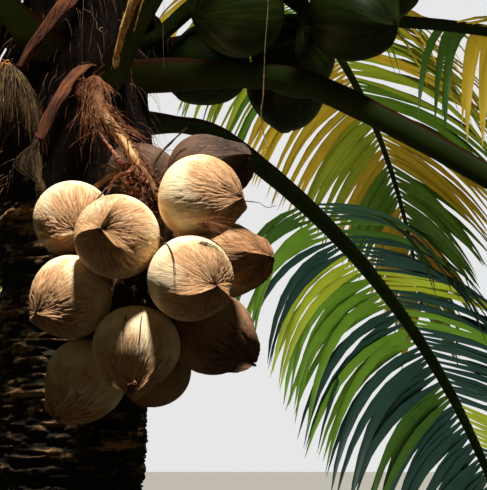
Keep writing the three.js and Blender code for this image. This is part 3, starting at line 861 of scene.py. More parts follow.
def branchlets(hang):
    """The path of each nut's branchlet, from the hanging stalk to the foot of the nut."""
    for row in RIPE_NUTS.values():
        centre, way, radius = nut_place(row)
        foot = centre - way * (radius * 0.95 - 0.006)
        drop = np.clip((HEART[2] + 0.3 - foot[2]) / 0.4, 0.22, 0.97)
        start = hang[int(drop * (HANG_STEPS - 1))]
        back = foot - way * 0.028
        between = mix(start, back, 0.55) + UP * 0.006
        yield smooth_path([start, between, back, foot], BRANCHLET_STEPS)


hang_path = bunch_path(STALK_LINE, HANG_STEPS)
stalk_corners = [*stem_socket(*STALK_FOOT), HEART + STALK_BEND, *(HEART + STALK_LINE)]
stalk_path = smooth_path(stalk_corners, STALK_STEPS)
stalk_share = np.linspace(0, 1, STALK_STEPS)
stalk_radii = STALK_RADIUS * mix(1.1, 0.68, stalk_share)
bare = np.repeat(stalk_share, STALK_SIDES)
stalk_heap = Heap()
add_tube(stalk_heap, stalk_path, stalk_radii, STALK_SIDES, 21, 0.2, bare=bare)
for i, path in enumerate(branchlets(hang_path)):
    knuckles = 1 + 0.22 * np.abs(np.sin(np.linspace(0, 9, BRANCHLET_STEPS) + i))
    add_tube(stalk_heap, path, BRANCHLET_RADIUS * knuckles, 8, 40 + i, bare=1.0)


def stalk_finish():
    f = Finish("fruit_stalk_skin", (228, 186, 130), 0.12)
    long = f.noise((110, 110, 16), 4.0, 0.6)
    broad = f.noise(22.0, 3.0, 0.6)
    bare = f.mark("bare")
    f.coat(broad.between(0.35, 0.65), (176, 120, 74))
    f.coat(long.between(0.52, 0.7) * 0.7, (96, 56, 32))
    ends = (bare + (broad - 0.5) * 0.4).between(0.68, 0.86)
    f.coat(ends * 0.85, (74, 44, 28))
    top = 1 - (bare + (broad - 0.5) * 0.2).between(0.4, 0.5)
    f.coat(top * 0.92, (70, 38, 20))
    return f.finish(0.85, long, 0.004)


show("ripe_bunch_stalk", stalk_heap, stalk_finish(), ["bunch_stalk"])

# %% [markdown]
# ### Caps at the stem end
# A nut keeps the six dry scales of its flower as a cap where its branchlet joins. The cap is a thin
# shell over the foot of the husk: one grid that runs out over the scales and back under them.

# %% Caps
CAP_ROWS = 7
CAP_COLUMNS = 48
cap_turn = 2 * np.pi * np.arange(CAP_COLUMNS) / CAP_COLUMNS
cap_out = np.concatenate([np.linspace(0.06, 1, CAP_ROWS), np.linspace(0.97, 0.08, CAP_ROWS)])
cap_lift = np.concatenate([0.05 - 0.015 * cap_out[:CAP_ROWS], np.full(CAP_ROWS, 0.012)])
cap_heap = Heap()
for seed, row in enumerate(RIPE_NUTS.values()):
    centre, way, radius = nut_place(row)
    lobes = 0.3 + 0.16 * np.abs(np.cos(3 * cap_turn + seed)) ** 0.6 + 0.02 * np.cos(7 * cap_turn + seed)
    polar = np.pi - cap_out[:, None] * lobes
    turn = np.broadcast_to(cap_turn, polar.shape)
    frill = 1 + cap_lift[:, None] + 0.012 * np.cos(6 * turn + 2 * seed) * cap_out[:, None] ** 2
    body = husk_surface(polar, turn, math.radians(row[6])) * frill[..., None]
    points = centre + radius * body.reshape(-1, 3) @ turn_to(way).T
    cap_heap.add(points, closed_faces(2 * CAP_ROWS, CAP_COLUMNS))


def remains_finish(name, dark, middle, light):
    f = Finish(name, dark, 0.2)
    clump = f.noise(60.0, 4.0, 0.65)
    fine = f.noise(260.0, 4.0, 0.7)
    f.coat(clump.between(0.35, 0.6), middle)
    f.coat(fine.between(0.5, 0.68) * clump.between(0.4, 0.6), light)
    return f.finish(0.88, fine, 0.003)


cap_skin = remains_finish("dry_scales", (60, 36, 24), (118, 78, 50), (178, 132, 92))
show("nut_caps", cap_heap, cap_skin, ["bunch_stalk"])

# %% [markdown]
# ### Spent branchlets
# Most flowers never set a nut, so bare knuckled branchlets stick out between the fruit. They are
# drawn at random, and each one ends where it would run into a nut. Two thick, dark cores of packed
# flower stalks lie round the hanging stalk, so that no light comes through the bunch: they are
# partly real packed stalks and partly painted shade, a dark body in the shaded heart of the bunch.

# %% Spent branchlets
SPENT = 80
SPENT_STEPS = 16
SPENT_RADIUS = 0.0024
SPENT_FROM = 24  # the first step of the hanging stalk that they leave
NUT_GAP = 0.002
CORE_STEPS = 60
CORE_SIDES = 40
CORE_PLACES = (0, 0.3, 0.65, 1)
# The corners of each core, and its radii at the shares above.
CORES = (
    (((-0.01, 0.035, 0.2), (0.0, 0.045, 0.1), (0.0, 0.06, 0.0), (0.016, 0.062, -0.07),
      (0.048, 0.066, -0.105), (0.08, 0.066, -0.15)), (0.024, 0.042, 0.048, 0.03)),
    (((0.0, 0.055, 0.02), (-0.05, 0.062, -0.02), (-0.095, 0.07, -0.07)), (0.03, 0.04, 0.04, 0.03)),
)
nut_hearts = np.array([nut_place(row)[0] for row in RIPE_NUTS.values()])
spent_heap = Heap()
rng = np.random.default_rng(29)
for seed in range(SPENT):
    start = hang_path[rng.integers(SPENT_FROM, HANG_STEPS - 1)]
    out = unit(rng.normal(0, 1, 3) * (1, 1, 0.7) - (0, 0, 0.3))
    length = rng.uniform(0.05, 0.13)
    corners = start + out * length * np.linspace(0, 1, 6)[:, None] + rng.normal(0, 0.009, (6, 3))
    path = smooth_path(corners, SPENT_STEPS)
    gaps = np.linalg.norm(path[:, None] - nut_hearts[None], axis=2).min(axis=1) - NUT_RADIUS - NUT_GAP
    reach = SPENT_STEPS if (gaps > 0).all() else int(np.argmax(gaps < 0))
    if reach > 3:
        knots = SPENT_RADIUS * (1 + 0.5 * np.abs(np.sin(np.arange(reach) * 1.3 + seed)))
        add_tube(spent_heap, path[:reach], knots, 6, 400 + seed, 0.3)
# The cores: dark bodies in the shaded heart of the bunch, partly packed flower stalks and partly painted
# shade.
for seed, (corners, radii) in enumerate(CORES):
    swell = np.interp(np.linspace(0, 1, CORE_STEPS), CORE_PLACES, radii)
    add_tube(spent_heap, bunch_path(corners, CORE_STEPS), swell, CORE_SIDES, 61 + seed, 0.45)
spent_skin = remains_finish("spent_branchlet_skin", (34, 22, 15), (82, 52, 34), (150, 108, 74))
show("spent_branchlets", spent_heap, spent_skin, ["bunch_stalk"])

# %% [markdown]
# ### Flower remains
# Dead flowers, torn bracts and twig ends stay on the bunch as a brown tangle where the branchlets
# leave the stalk. Each scrap is a flattened tube whose path and radius both wander, which reads as
# crumpled when there are many. Finer twigs have fallen over the nuts.

# %% Scraps and twigs
SCRAPS = 64
NOSE_SCRAPS = 9
NOSE = (-0.028, -0.134, -0.25)  # of the nut that hangs lowest in front
SCRAP_STEPS = 14
BRACT_STEPS = 24
SIDE_STEPS = 26
TWIG_STEPS = 30
TANGLE_SPOTS = (
    (-0.025, 0.01, 0.222), (-0.002, 0.005, 0.206), (0.026, 0.0, 0.193), (0.006, 0.0, 0.172),
    (-0.014, 0.0, 0.187), (-0.05, -0.005, 0.214), (-0.036, 0.0, 0.2), (0.04, 0.01, 0.215),
)
# The corners of each twig and its radius.
TWIGS = (
    (((-0.074, -0.03, 0.194), (-0.085, -0.028, 0.197), (-0.099, -0.034, 0.189), (-0.106, -0.045, 0.176),
      (-0.119, -0.058, 0.157), (-0.125, -0.064, 0.134), (-0.13, -0.064, 0.111)), 0.002),
    (((0.001, 0.02, 0.225), (0.007, 0.03, 0.262), (0.023, 0.03, 0.287), (0.041, 0.03, 0.306),
      (0.064, 0.02, 0.326), (0.081, 0.01, 0.338)), 0.003),
    (((0.012, -0.02, 0.205), (0.036, -0.03, 0.228), (0.05, -0.06, 0.234), (0.069, -0.075, 0.247),
      (0.091, -0.07, 0.259), (0.112, -0.03, 0.278), (0.126, 0.0, 0.296)), 0.0022),
    (((0.018, -0.12, 0.03), (0.039, -0.15, 0.051), (0.054, -0.19, 0.032), (0.061, -0.207, 0.015),
      (0.064, -0.217, 0.002), (0.067, -0.224, -0.026)), 0.0014),
    (((-0.003, -0.088, -0.085), (-0.009, -0.128, -0.108), (-0.011, -0.148, -0.135),
      (-0.013, -0.157, -0.168)), 0.0015),
    (((-0.035, -0.09, -0.09), (-0.043, -0.13, -0.108), (-0.046, -0.144, -0.127),
      (-0.047, -0.15, -0.14)), 0.0016),
    (((0.205, -0.03, 0.163), (0.219, 0.0, 0.167), (0.242, 0.0, 0.164), (0.264, -0.01, 0.151),
      (0.282, -0.01, 0.156)), 0.001),
)
# A dead side stalk that ends in a knob, and the corners of each torn bract with its half width.
SIDE_STALK = (
    (-0.146, 0.14, 0.38), (-0.114, 0.06, 0.323), (-0.089, 0.02, 0.287), (-0.074, 0.0, 0.262),
    (-0.066, -0.006, 0.246),
)
BRACTS = (
    (((-0.092, -0.05, 0.185), (-0.081, -0.05, 0.205), (-0.065, -0.045, 0.218),
      (-0.044, -0.03, 0.229), (-0.032, -0.015, 0.246)), 0.0095),
    (((-0.042, 0.012, 0.25), (-0.052, 0.004, 0.236), (-0.061, -0.004, 0.22), (-0.054, -0.01, 0.2)), 0.007),
    (((-0.012, 0.02, 0.232), (0.004, 0.01, 0.214), (0.024, 0.0, 0.208), (0.046, 0.0, 0.214)), 0.006),
)


def add_scrap(heap, centre, way, length, width, seed):
    rng = np.random.default_rng(seed)
    corners = centre + unit(way) * length * np.linspace(-0.5, 0.5, 5)[:, None]
    path = smooth_path(corners + rng.normal(0, 0.12 * length, (5, 3)), SCRAP_STEPS)
    profile = width * np.sin(np.pi * np.linspace(0.08, 0.95, SCRAP_STEPS)) ** 0.6
    add_tube(heap, path, profile, 9, seed, 0.5, 0.38)


remains_heap = Heap()
rng = np.random.default_rng(17)
for scrap in range(SCRAPS):
    spot = HEART + TANGLE_SPOTS[scrap % len(TANGLE_SPOTS)] + rng.normal(0, 0.011, 3)
    way = rng.normal(0, 1, 3)
    length = rng.uniform(0.014, 0.042)
    width = rng.uniform(0.002, 0.0055)
    add_scrap(remains_heap, spot, way, length, width, scrap)
for corners, half_width in BRACTS:
    bulge = half_width * (0.35 + 0.65 * np.sin(np.pi * np.linspace(0.1, 0.95, BRACT_STEPS)))
    add_tube(remains_heap, bunch_path(corners, BRACT_STEPS), bulge, 12, 90, 0.35, 0.3)
knob = 0.0042 + 0.006 * np.exp(-(((np.linspace(0, 1, SIDE_STEPS) - 0.93) / 0.07) ** 2))
add_tube(remains_heap, bunch_path(SIDE_STALK, SIDE_STEPS), knob, 9, 91, 0.25)
for scrap in range(NOSE_SCRAPS):
    spot = HEART + NOSE + rng.normal(0, 0.0045, 3)
    way = rng.normal(0, 1, 3) + (0, -0.4, -0.5)
    add_scrap(remains_heap, spot, way, 0.016, 0.0028, 200 + scrap)
flower_skin = remains_finish("dead_flowers", (58, 30, 20), (124, 72, 48), (204, 152, 116))
show("flower_remains", remains_heap, flower_skin, ["bunch_stalk"])

twig_heap = Heap()
twig_taper = mix(1.15, 0.45, np.linspace(0, 1, TWIG_STEPS))
for seed, (corners, radius) in enumerate(TWIGS):
    knots = radius * (1 + 0.35 * np.abs(np.sin(np.linspace(0, 11, TWIG_STEPS) + seed)))
    add_tube(twig_heap, bunch_path(corners, TWIG_STEPS), twig_taper * knots, 7, 95 + seed, 0.2)
twig_skin = remains_finish("dry_twig_skin", (46, 33, 22), (84, 60, 40), (134, 102, 70))
show("dry_twigs", twig_heap, twig_skin, ["bunch_stalk"])

# %% [markdown]
# ### Hanging threads
# Long threads hang from the crown above the bunch. One of them is a dry leaf tip, which widens
# towards its end. Each is a slightly flattened tube on a path of its own.

# %% Hanging threads
THREAD_STEPS = 48
# The corners of each thread, and its radius above and below.
THREADS = (
    (((0.238, 0.07, 0.73), (0.258, 0.03, 0.7), (0.266, 0.02, 0.66), (0.258, 0.01, 0.52),
      (0.253, 0.01, 0.403), (0.249, 0.01, 0.375), (0.258, 0.01, 0.31), (0.264, 0.0, 0.287)), 0.0009, 0.0021),
    (((0.0, 0.1, 0.7), (0.021, 0.07, 0.66), (0.021, 0.07, 0.584), (0.024, 0.07, 0.488)), 0.0004, 0.0004),
    (((-0.182, 0.225, 0.72), (-0.182, 0.2, 0.622), (-0.181, 0.2, 0.547), (-0.175, 0.19, 0.49)),
     0.0005, 0.0006),
    (((-0.178, 0.19, 0.672), (-0.158, 0.17, 0.655), (-0.145, 0.17, 0.634), (-0.141, 0.165, 0.615),
      (-0.13, 0.17, 0.608), (-0.128, 0.165, 0.618), (-0.136, 0.16, 0.614), (-0.122, 0.16, 0.6),
      (-0.118, 0.165, 0.612)), 0.0005, 0.0009),
)
thread_share = np.linspace(0, 1, THREAD_STEPS)
thread_heap = Heap()
for corners, above, below in THREADS:
    swell = mix(above, below, ease(thread_share, 0.55, 0.75)) * (1 - 0.5 * thread_share) ** 0.5
    add_tube(thread_heap, bunch_path(corners, THREAD_STEPS), swell, 6, flat=0.6)
thread_skin = remains_finish("pale_thread", (92, 76, 54), (138, 118, 84), (188, 158, 108))
show("hanging_threads", thread_heap, thread_skin, ["bunch_stalk"])

# %% [markdown]
# ### Tufts of loose fibre
# A tuft hangs from the bend of the stalk, fine ends stick out of the tangle, and a few pale ones
# are caught between the nuts. `strands` makes each tuft from a start, a way and a spread.

# %% Tufts
# Each tuft: its root from the bunch's heart, its way, spread of starts and ways, length, count.
TUFTS = {
    "stalk_bend": ((-0.158, 0.16, 0.455), (0.1, -0.3, -1.0), 0.009, 0.3, 0.12, 110),
    "knot": ((-0.163, 0.17, 0.47), (0.2, -0.4, -0.6), 0.009, 0.8, 0.035, 150),
    "side": ((-0.135, 0.09, 0.385), (0.25, -0.2, -0.9), 0.016, 0.45, 0.085, 80),
    "tangle": ((-0.01, 0.0, 0.215), (0.0, -0.2, 0.3), 0.028, 1.0, 0.04, 90),
    "right_gap": ((0.12, -0.194, 0.085), (1.0, -0.15, 0.02), 0.003, 0.3, 0.085, 30),
    "left_gap": ((0.012, -0.11, 0.06), (0.2, -0.3, -0.9), 0.01, 0.5, 0.035, 24),
}


def add_tuft(heap, row, seed):
    root, way, start_spread, way_spread, length, count = row
    rng = np.random.default_rng(seed)
    starts = HEART + np.array(root) + rng.normal(0, start_spread, (count, 3))
    ways = unit(np.array(way)) + rng.normal(0, way_spread, (count, 3))
    lengths = rng.uniform(0.35, 1.1, count) * length
    heap.add(*strands(starts, ways, lengths, 0.0008, 0.6, 0.2, 6, seed))


tuft_heap = Heap()
for seed, row in enumerate(TUFTS.values()):
    add_tuft(tuft_heap, row, 300 + seed)
print("points in the tufts:", tuft_heap.count)

# %% [markdown]
# ### Fibre wrapped on the stalk
# The upper stalk is wrapped in fibre that lies along it and lifts off at its ends. Loose fibre
# comes in clumps, so each clump draws its place, side, way and length once, and its strands stray
# a little from them.

# %% Wrapped fibre
WRAP_CLUMPS = 46
IN_CLUMP = 11
WRAPPED = WRAP_CLUMPS * IN_CLUMP
rng = np.random.default_rng(41)
clump_step = np.repeat(16 + 42 * rng.uniform(0, 1, WRAP_CLUMPS) ** 1.5, IN_CLUMP)
clump_side = np.repeat(rng.normal(0, 1, (WRAP_CLUMPS, 3)), IN_CLUMP, 0)
clump_way = np.repeat(rng.normal(0, 0.3, (WRAP_CLUMPS, 3)), IN_CLUMP, 0)
clump_length = np.repeat(rng.uniform(0.025, 0.085, WRAP_CLUMPS), IN_CLUMP)
wrap_step = np.clip(clump_step + rng.normal(0, 1.2, WRAPPED), 10, 62)
wrap_low = wrap_step.astype(int)
wrap_part = (wrap_step - wrap_low)[:, None]
wrap_middle = mix(stalk_path[wrap_low], stalk_path[wrap_low + 1], wrap_part)
wrap_along = unit(stalk_path[wrap_low + 1] - stalk_path[wrap_low])
wrap_out = unit(np.cross(wrap_along, clump_side + rng.normal(0, 0.25, (WRAPPED, 3))))
wrap_ways = wrap_along + 0.2 * wrap_out + clump_way + rng.normal(0, 0.1, (WRAPPED, 3))
wrap_starts = wrap_middle + wrap_out * STALK_RADIUS
wrap_lengths = clump_length * rng.uniform(0.6, 1.1, WRAPPED)
wrap_thickness = rng.uniform(0.0007, 0.0014, WRAPPED)
tuft_heap.add(*strands(wrap_starts, wrap_ways, wrap_lengths, wrap_thickness, 0.4, 0.24, 6, 42))
tuft_skin = remains_finish("tuft_fibre", (74, 38, 22), (132, 78, 46), (206, 158, 108))
show("bunch_tufts", tuft_heap, tuft_skin, ["bunch_stalk"])

# %% [markdown]
# ## Green bunches
# Younger bunches sit higher in the crown, with smooth green nuts crowded on a stout stalk. Their
# husk is the ripe one's rule again with hardly any furrows, and a skin that shines a little.

# %% Green bunches
GREEN_RADIUS = 0.109
GREEN_KEEL = 0.16
GREEN_FURROW = 0.0015
GREEN_STEPS = 40
GREEN_SIDES = 10
GREEN_NUTS = [
    (0.121, -0.126, 0.036, -40, -20), (-0.009, 0.172, 0.02, 70, -25), (-0.148, -0.108, 0.051, -140, -15),
    (0.01, -0.06, 0.232, -80, 20), (0.186, 0.072, 0.17, 20, 10), (-0.12, 0.09, 0.21, 150, 30),
    (-0.022, 0.392, -0.01, 80, -50), (-0.226, 0.25, 0.018, 150, -20),
]
GREEN_BUNCHES = {
    "green_bunch_right": (-14, 3.64, (0.749, -0.23, 3.595), 0, 8),
    "green_bunch_back": (132, 3.45, (-0.175, 0.394, 3.21), 132, 6),
}


def green_nuts(heart, turn, count):
    """Centre, way and hub of each nut of a green bunch."""
    for across, away, up, bearing, lift in GREEN_NUTS[:count]:
        offset = turned(np.array([across, away, up]), UP, math.radians(turn))
        hub = heart + UP * np.clip(up, -0.01, 0.09)
        yield heart + offset, heading(bearing + turn, lift), hub


def green_finish():
    f = Finish("green_husk_skin", (20, 34, 9), 0.2)
    grain = f.mark("grain", "Vector")
    streak = f.noise((9, 9, 1.2), 4.0, 0.6, 0.4, grain)
    broad = f.noise((1.5, 1.5, 1.0), 3.0, 0.5, 0.0, grain)
    f.coat(broad.between(0.3, 0.7), (47, 63, 17))
    f.coat(streak.between(0.45, 0.75) * 0.4, (96, 106, 46))
    f.coat(f.noise(45.0, 4.0, 0.7).between(0.66, 0.76) * 0.7, (88, 70, 40))
    f.coat(1 - f.mark("polar").between(0.05, 0.14), (56, 40, 24))
    return f.finish(0.42, streak, 0.0008, 0.5)


def add_green_stalk(heap, path, radii, sides):
    """A stalk in the skin of the nuts, with its grain by place."""
    points, faces = tube(path, radii, sides)
    heap.add(points, faces, grain=points * 8, polar=2.0, creased=0.0)


green_skin = green_finish()
green_radii = mix(0.022, 0.015, np.linspace(0, 1, GREEN_STEPS))[:, None]
green_radii = green_radii * ridged(GREEN_STEPS, GREEN_SIDES, 31)
for name, (bearing, height, heart, turn, count) in GREEN_BUNCHES.items():
    heart = np.array(heart)
    inside, bark = stem_socket(bearing, height)
    over = mix(bark, heart, 0.6)
    over[2] = max(bark[2], heart[2] + 0.12) + 0.07
    line = smooth_path([inside, bark, over, heart + UP * 0.12, heart - UP * 0.02], GREEN_STEPS)
    green_heap = Heap()
    add_green_stalk(green_heap, line, green_radii, GREEN_SIDES)
    for seed, (centre, way, hub) in enumerate(green_nuts(heart, turn, count)):
        stem = smooth_path([hub, mix(hub, centre, 0.5), centre - way * 0.6 * GREEN_RADIUS], 8)
        add_green_stalk(green_heap, stem, 0.009 * np.ones((8, 1)), 7)
        husk = (seed, 30 + seed, (44, 64), GREEN_KEEL, GREEN_FURROW)
        add_nut(green_heap, centre, way, GREEN_RADIUS, *husk)
    shaded_pieces.append(show(name + "_fruit", green_heap, green_skin, [name]))

# %% [markdown]
# ## Leaflets
# Each rib carries close on a hundred leaflets a side. A leaflet is a narrow blade folded to a roof
# along its midrib, and it leaves the rib by the solid's rule: nearly square to it at first, then
# more and more towards the tip, while its weight bends it down. Eight sections of three points make
# one, so the whole crown is a light mesh. Leaflets that would run into a nut or the trunk are cut short.

# %% Leaflet rule
LEAFLETS_A_SIDE = 96
LEAFLET_LENGTH = 0.9
LEAFLET_POINTS = 8
HALF_WIDTH = 0.023
FOLD = math.radians(24)
CUTS = (0.42, 0.6, 0.8, 1.0)  # the shares of its length that a leaflet may be cut to
# How far leaflets stay from the middle of a nut, a stalk and a petiole, and from the stem's side.
RIPE_ROOM = 0.125
GREEN_ROOM = 0.135
STALK_ROOM = 0.045
PETIOLE_ROOM = 0.06
STEM_ROOM = 0.03
OUTLINE_PLACES = (0, 0.06, 0.28, 0.6, 0.85, 1)
OUTLINE_WIDTHS = (0.35, 0.68, 1.0, 0.84, 0.46, 0.03)


def leaflet_length(frond, blade):
    rise = mix(0.6, 1, ease(blade, 0, 0.35))
    fall = mix(1, 0.4, ease(blade, 0.45, 1))
    return LEAFLET_LENGTH * rise * fall * frond["length"] / FROND_LENGTH


def keep_out():
    """Balls that leaflets keep out of: the nuts, the stalks, and the petioles by the fruit."""
    balls = [(centre, RIPE_ROOM) for centre in nut_hearts]
    for _, _, heart, turn, count in GREEN_BUNCHES.values():
        balls += [(centre, GREEN_ROOM) for centre, _, _ in green_nuts(np.array(heart), turn, count)]
    balls += [(place, STALK_ROOM) for place in stalk_path[20::8]]
    for index in (CROSSING_FROND, CLIMBING_FROND):
        balls += [(place, PETIOLE_ROOM) for place in ribs[index]["centre"][4:30:2]]
    centres, radii = zip(*balls)
    return np.array(centres), np.array(radii)


ball_centres, ball_radii = keep_out()


def clear_of_all(paths):
    """True for each path that stays out of the balls and the stem."""
    flat = paths.reshape(-1, 3)
    gaps = np.linalg.norm(flat[:, None] - ball_centres[None], axis=2) - ball_radii
    axis = stem_at(flat[:, 2])
    from_stem = np.linalg.norm((flat - axis)[:, :2], axis=1) - stem_radius(flat[:, 2]) - STEM_ROOM
    inside = (gaps.min(axis=1) < 0) | ((from_stem < 0) & (flat[:, 2] < STEM_TIP))
    return ~inside.reshape(paths.shape[:2]).any(axis=1)


def leaflet_paths(frond, frames, hand, blade, length, stray):
    """Midrib points of one side's leaflets, and their ways."""
    angle = np.radians(mix(72, 28, blade**1.2) + 4 * stray[:, 0])[:, None]
    outward = frames["along"] * np.cos(angle) + frames["across"] * hand * np.sin(angle)
    outward = outward + frames["above"] * (0.18 + 0.12 * stray[:, 1:2])
    t = (np.arange(LEAFLET_POINTS - 1) + 0.5) / (LEAFLET_POINTS - 1)
    drop = frond["sag"] * (1.2 * t + 0.05) * (1 - 0.5 * np.maximum(0, -frames["along"][:, 2:3]))
    drop = (drop * (1 + 0.15 * stray[:, 2:3]))[..., None]
    ways = unit(outward[:, None] * (1 - drop) - UP * drop)
    width, depth = rib_size(frond, PETIOLE_SHARE + blade * (1 - PETIOLE_SHARE))
    root = frames["centre"] + frames["across"] * hand * 0.9 * width[:, None]
    root = root + frames["above"] * 0.75 * depth[:, None]
    steps = ways * (length / (LEAFLET_POINTS - 1))[:, None, None]
    path = root[:, None] + np.concatenate([0 * steps[:, :1], np.cumsum(steps, axis=1)], axis=1)
    return path, np.concatenate([ways, ways[:, -1:]], axis=1)


def leaflet_sheets(path, ways, along, hand, size, stray):
    """Three points at each section: one edge, the midrib and the other edge."""
    t = np.linspace(0, 1, LEAFLET_POINTS)
    across = unit(along[:, None] - dot(along[:, None], ways) * ways)
    twist = hand * (0.15 + 0.5 * stray[:, 3:4]) * t
    across = turned(across, ways, twist[..., None])
    over = np.cross(ways, across) * hand
    over = np.where(over[:, :1, 2:3] < 0, -over, over)
    half = np.interp(t, OUTLINE_PLACES, OUTLINE_WIDTHS) * HALF_WIDTH * size[:, None]
    side = across * (half * math.cos(FOLD))[..., None]
    down = over * (half * math.sin(FOLD))[..., None]
    return np.stack([path - side - down, path, path + side - down], axis=2)


def frond_leaflets(frond, rib):
    """Every leaflet of one frond: its sheet of points and its number along the rib."""
    sheets = []
    numbers = []
    for hand in (1, -1):
        number = np.arange(LEAFLETS_A_SIDE)
        rng = np.random.default_rng(100 * frond["index"] + 7 * hand + 50)
        stray = rng.uniform(-1, 1, (LEAFLETS_A_SIDE, 4))
        blade = (number + 0.5 + 0.3 * stray[:, 0]) / LEAFLETS_A_SIDE
        frames = rib_at(rib, PETIOLE_SHARE + blade * (1 - PETIOLE_SHARE))
        full = leaflet_length(frond, blade) * (1 + 0.05 * stray[:, 1])
        kept = np.zeros(LEAFLETS_A_SIDE)
        for share in CUTS:
            path, _ = leaflet_paths(frond, frames, hand, blade, full * share, stray)
            kept = np.where(clear_of_all(path), share, kept)
        path, ways = leaflet_paths(frond, frames, hand, blade, full * kept, stray)
        size = np.sqrt(full / LEAFLET_LENGTH) * (1 + 0.1 * stray[:, 2])
        sheet = leaflet_sheets(path, ways, frames["along"], hand, size, stray)
        sheets.append(sheet[kept > 0])
        numbers.append(number[kept > 0])
    return np.concatenate(sheets), np.concatenate(numbers)


print("balls that leaflets keep out of:", len(ball_radii))

# %% [markdown]
# ### Dealing out the leaf colours
# Leaflets turn from deep green to yellow and dry brown as the frond ages, and some sprays have
# burnt edges. Sprays that hang in shade take the darker greens deep and shade, as painted shade:
# deep is the old fronds' blue-green darkened, and shade a darkened green. Each spray of a few
# neighbours takes one plain colour, dealt by the frond's own mix, and all leaflets of a colour
# are one mesh.

# %% Leaf colours
LEAF_COLOURS = {
    # deep and shade: darker greens painted on sprays that hang in shade, as painted shade.
    "deep": (36, 66, 56),
    "shade": (52, 82, 58),
    "green": (62, 98, 30),
    "fresh": (104, 146, 38),
    "lime": (170, 186, 48),
    "yellow": (222, 190, 50),
    "orange": (226, 162, 44),
    "dry": (128, 96, 60),
}
# The colours that a frond's sprays are dealt from: one row for each frond that the view sees
# close, and for the rest a row by age.
DEALS = {
    0: ("deep", "deep", "shade", "green", "fresh", "deep", "lime"),
    8: ("lime", "yellow", "fresh", "orange", "lime", "fresh", "yellow"),
    2: ("shade", "green", "green", "fresh"),
    5: ("fresh", "lime", "green", "fresh", "yellow"),
    3: ("green", "fresh", "lime", "yellow", "fresh"),
}
OLD_DEAL = ("green", "shade", "lime", "yellow", "green", "dry", "fresh")
MIDDLE_DEAL = ("green", "shade", "green", "fresh", "green", "lime")
YOUNG_DEAL = ("fresh", "green", "fresh", "green")
SPRAY = 4  # neighbouring leaflets of one colour


def deal_for(frond):
    by_age = OLD_DEAL if frond["age"] < 0.2 else MIDDLE_DEAL if frond["age"] < 0.7 else YOUNG_DEAL
    return DEALS.get(frond["index"], by_age)


def leaf_finish(name, colour):
    f = Finish("leaf_" + name, colour, 0.4)
    *darker, _ = (0.72 * c for c in f.colour)
    mottle = f.noise(9.0, 3.0, 0.6)
    f.colour = f.blend(mottle.between(0.35, 0.7) * 0.6, f.colour, (*darker, 1.0))
    return f.finish(0.45)


leaf_heaps = {name: Heap() for name in LEAF_COLOURS}
leaf_owners = {name: set() for name in LEAF_COLOURS}
one_leaflet = grid_faces(LEAFLET_POINTS, 3, wrap=False)
for frond, rib in zip(fronds, ribs):
    sheets, numbers = frond_leaflets(frond, rib)
    deal = deal_for(frond)
    spray = numbers // SPRAY + (np.arange(len(numbers)) >= len(numbers) // 2) * 40
    drawn = np.abs(jitter(spray, 60 + frond["index"])) * len(deal)
    dealt = np.array(deal)[np.minimum(drawn.astype(int), len(deal) - 1)]
    for name in sorted(set(dealt)):
        chosen = sheets[dealt == name]
        leaf_heaps[name].add(chosen, repeated(one_leaflet, len(chosen), LEAFLET_POINTS * 3))
        leaf_owners[name].add(frond_nodes[frond["index"]])

leaf_pieces = []
for name, heap in leaf_heaps.items():
    if heap.count:
        finish = leaf_finish(name, LEAF_COLOURS[name])
        leaf_pieces.append(show("leaflets_" + name, heap, finish, sorted(leaf_owners[name])))

# %% [markdown]
# ## Crown foot
# Above the bark the stem is wrapped in the old leaf sheaths, a net of coarse brown fibre with loose
# ends hanging out. A rough sleeve gives the dark body, near black partly as painted shade inside
# the crown, and many thin strands give the fray.

# %% Crown foot
SLEEVE_ROWS = 150
SLEEVE_COLUMNS = 120
sleeve_turn, sleeve_z = np.meshgrid(
    np.arange(SLEEVE_COLUMNS) / SLEEVE_COLUMNS,
    np.linspace(BARK_TOP - 0.015, STEM_TIP - 0.002, SLEEVE_ROWS),
)
sleeve_share = (sleeve_z - BARK_TOP) / (STEM_TIP - BARK_TOP)
sleeve_relief = 0.012 * ring_noise(sleeve_turn + 0.6 * sleeve_share, sleeve_share, 7, 9, 12)
sleeve_relief += 0.004 * ring_noise(sleeve_turn, sleeve_share, 40, 30, 13)
sleeve_reach = stem_radius(np.maximum(sleeve_z, BARK_TOP + 0.001)) + 0.016 + sleeve_relief
sleeve_points = stem_at(sleeve_z) + around(sleeve_turn) * np.maximum(sleeve_reach, 0.012)[..., None]
sleeve_heap = Heap()
sleeve_heap.add(sleeve_points, closed_faces(SLEEVE_ROWS, SLEEVE_COLUMNS))


def sheath_finish():
    # Near-black ground: partly the old fibre's own colour and partly painted shade inside the crown.
    f = Finish("sheath_fibre", (9, 6, 4), 0.2)
    rising = f.noise((70, 70, 9), 4.0, 0.6, 0.8)
    falling = f.noise((12, 12, 60), 4.0, 0.6, 0.8)
    broad = f.noise(7.0, 3.0, 0.6)
    f.coat(rising.between(0.4, 0.7), (40, 24, 15))
    f.coat(falling.between(0.55, 0.75) * broad.between(0.4, 0.6), (66, 42, 24))
    return f.finish(0.95, rising + falling, 0.006)


sheath_skin = sheath_finish()
sheath_pieces = [show("crown_sheath", sleeve_heap, sheath_skin, ["trunk"])]

# %% [markdown]
# ### Flaps of old sheath
# Where a leaf has dropped, part of its sheath stays as a stiff flap with a torn lower edge. Four
# of them stand off the stem on its far side and on the left, and close the gaps between the
# petioles there with near-black sheath, partly as painted shade for the shaded inside of the crown.
# Each is one open grid that leans out and narrows towards its foot.

# %% Sheath flaps
FLAP_ROWS = 26
FLAP_COLUMNS = 34
